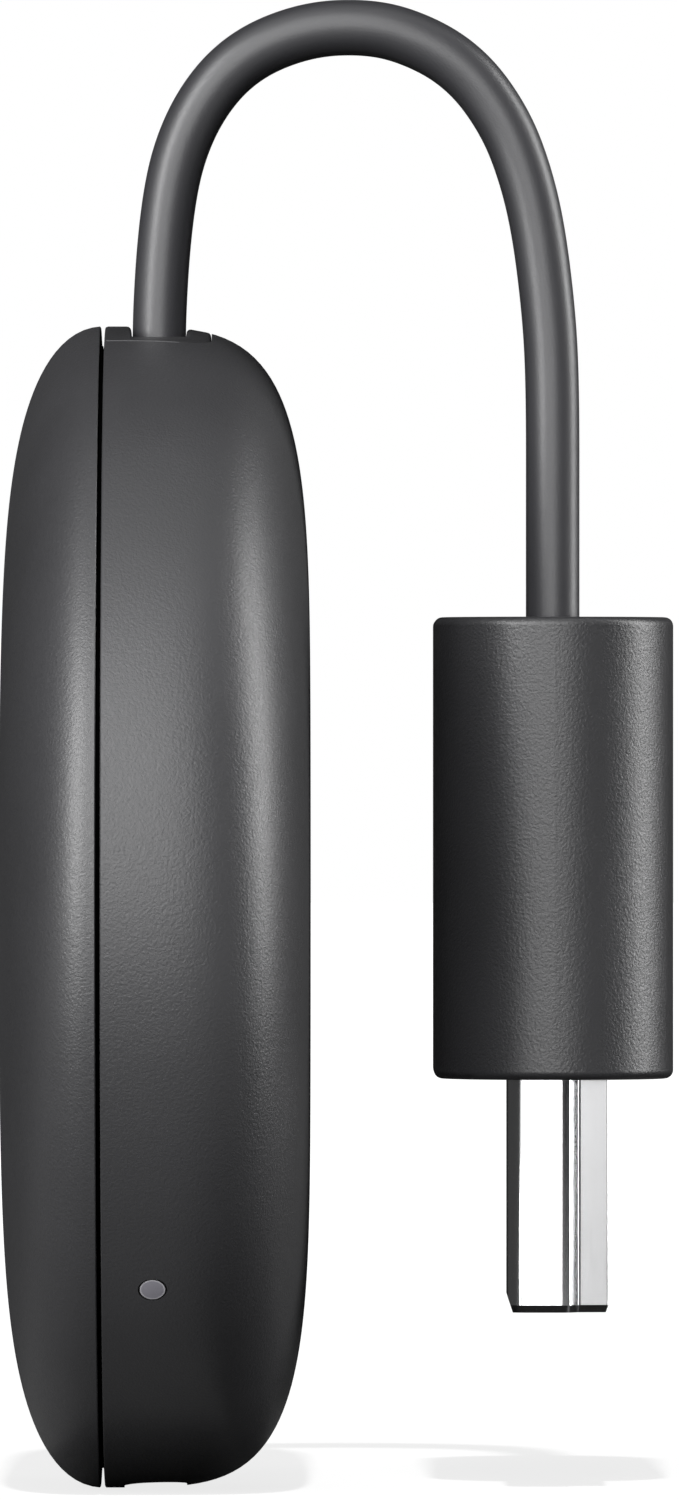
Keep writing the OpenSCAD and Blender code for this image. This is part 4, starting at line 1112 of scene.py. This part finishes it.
# stage, in metres and degrees. A turn goes from the camera's side to the object's right
stage = {
    "ambient": 0.2,
    "lights": [
        # name, turn, distance, width, low and high edge, radiance
        ("leftStrip", -46.5, 0.42, 0.16, 0.0, 0.44, 12.8),
        ("frontBox", -4.5, 0.5, 0.34, 0.0, 0.75, 3.9),
        ("rightStrip", 99.5, 0.42, 0.15, 0.0, 0.42, 9.8),
    ],
    "suns": [
        # name, turn, height, breadth, strength
        ("topSun", 1, 40, 11, 1.35),
        ("shadowSun", 0.3, 46, 1.5, 12.5),
    ],
    "standingCards": [
        # name, turn and distance of its middle, width, height
        ("leftCard", -132, 0.42, 0.92, 0.7),
        ("rightCard", 145, 0.42, 0.5, 0.7),
        ("gapCard", 55, 0.42, 0.56, 0.8),
    ],
    "otherCards": [
        # name, place of its middle, how it leans and turns, width, height, and its glow
        ("floorCard", (0, 0.29, 0.0004), 0, 0, 0.8, 0.5, 0),
        ("topCard", (0, 0.22, 0.42), -29.4, 0, 0.8, 0.4, 0),
        ("backCard", (0, 0.5, 0.3), 90, 0, 1.0, 0.6, 0),
        # painted shade: a black card under the plug that its tip mirrors in place of the shaded floor
        ("tipShadeCard", (0.0177, -0.016, 0.0003), 0, 0, 0.026, 0.044, 0),
        ("sideCard", (0.22, 0.03, 0.0003), 0, 0, 0.37, 0.14, 0),
        ("footCard", (0.254, -0.178, 0.0004), 0, 55, 0.56, 0.22, 0),
        # painted reflection: a faintly glowing card between the case and the plug, which the plug's metal
        # mirrors in place of the case's lit rear face
        ("paintedReflectionCard", (0.014, -0.0007, 0.0131), 90, 90, 0.0172, 0.0106, 0.05),
    ],
    "cardGrey": 0.01,
    "floorWide": 8,
    "floorColour": 0.038,  # what the object's light meets, and what the camera sees of the lamps' light
    "floorShare": 0.055,
    "floorLift": (0.8, 1.0),  # near the object, where the lamps light it too, and far away
    "near": (0.04, 0.25),
    "far": (0.08, 0.6),
}


# an upright soft light that faces the object
def softLight(name, turn, away, wide, low, high, radiance):
    turn = math.radians(turn)
    out = Vector((math.sin(turn), -math.cos(turn), 0))
    deselectAll()
    bpy.ops.object.light_add(type="AREA", location=out * away + Vector((0, 0, (low + high) / 2)))
    lamp = named(name)
    lamp.rotation_euler = out.to_track_quat("Z", "Y").to_euler()
    lamp.data.shape = "RECTANGLE"
    lamp.data.size = wide
    lamp.data.size_y = high - low
    lamp.data.energy = radiance * math.pi * wide * (high - low)
    lamp.visible_camera = False


# a distant light from above the camera, without gloss
def sunLight(name, turn, height, breadth, strength):
    deselectAll()
    bpy.ops.object.light_add(type="SUN", rotation=(math.radians(90 - height), 0, math.radians(turn)))
    sun = named(name)
    sun.data.angle = math.radians(breadth)
    sun.data.energy = strength
    sun.visible_glossy = False
    return sun


# a black card, or one that glows a little as a painted reflection, that only reflections show
def blackCard(name, place, lean, turn, wide, tall, glow=0):
    deselectAll()
    bpy.ops.mesh.primitive_plane_add(size=1, location=place)
    card = named(name)
    card.rotation_euler = (math.radians(lean), 0, math.radians(turn))
    card.scale = (wide, tall, 1)
    cardFinish, tree, shader = newFinish(name + "Felt")
    setInputs(tree, shader, {"Base Color": (*[stage["cardGrey"]] * 3, 1), "Specular IOR Level": 0,
                             "Emission Color": (1, 1, 1, 1), "Emission Strength": glow})
    card.data.materials.append(cardFinish)
    for kind in ("camera", "diffuse", "shadow", "transmission"):
        setattr(card, "visible_" + kind, False)


for light in stage["lights"]:
    softLight(*light)
# the second sun lights nothing but the floor, and gives it the crisp shadows
sunlit = bpy.data.collections.new("sunlit")
suns = {sun[0]: sunLight(*sun) for sun in stage["suns"]}
suns["shadowSun"].light_linking.receiver_collection = sunlit
for name, turn, away, wide, tall in stage["standingCards"]:
    out = math.radians(turn)
    blackCard(name, (math.sin(out) * away, -math.cos(out) * away, tall / 2), 90, turn, wide, tall)
for card in stage["otherCards"]:
    blackCard(*card)


# 1 for the rays that see the white background: the camera's, and those of gloss and glass
def seenRays(tree, share=1.0):
    rays = addNode(tree, "LightPath").outputs
    mirrored = mathOf(tree, "MAXIMUM", rays["Is Glossy Ray"], rays["Is Transmission Ray"])
    return mathOf(tree, "MAXIMUM", rays["Is Camera Ray"], mathOf(tree, "MULTIPLY", mirrored, share))


# pale floor: for the camera it lifts to white, and near the object it is dark for gloss
deselectAll()
bpy.ops.mesh.primitive_plane_add(size=stage["floorWide"], location=(0, 0, 0))
floor = named("paleFloor")
floorFinish, tree, shader = newFinish("floorPaper")
away = addNode(tree, "VectorMath", {0: addNode(tree, "TexCoord").outputs["Object"]}, operation="LENGTH")
away = away.outputs["Value"]
paper = addNode(tree, "BsdfDiffuse", {"Color": (*[stage["floorColour"]] * 3, 1)})
shown = addNode(tree, "BsdfDiffuse", {"Color": (*[stage["floorShare"]] * 3, 1)})
lift = addNode(tree, "Emission", {"Color": (1, 1, 1, 1),
                                  "Strength": rangeOf(tree, away, stage["far"], *stage["floorLift"])})
lifted = addNode(tree, "AddShader", {0: shown.outputs[0], 1: lift.outputs[0]})
seen = seenRays(tree, rangeOf(tree, away, stage["near"], 0, 1))
either = addNode(tree, "MixShader", {0: seen, 1: paper.outputs[0], 2: lifted.outputs[0]})
setInputs(tree, tree.nodes["Material Output"], {"Surface": either.outputs[0]})
tree.nodes.remove(shader)
floor.data.materials.append(floorFinish)
sunlit.objects.link(floor)

world = bpy.data.worlds.new("paleRoom")
bpy.context.scene.world = world
world.use_nodes = True
tree = world.node_tree
soft = tree.nodes["Background"]
setInputs(tree, soft, {"Color": (1, 1, 1, 1), "Strength": stage["ambient"]})
white = addNode(tree, "Background", {"Color": (1, 1, 1, 1), "Strength": 1})
either = addNode(tree, "MixShader", {0: seenRays(tree), 1: soft.outputs[0], 2: white.outputs[0]})
setInputs(tree, tree.nodes["World Output"], {"Surface": either.outputs[0]})
bpy.context.scene.view_settings.view_transform = "Standard"
print("stage set")
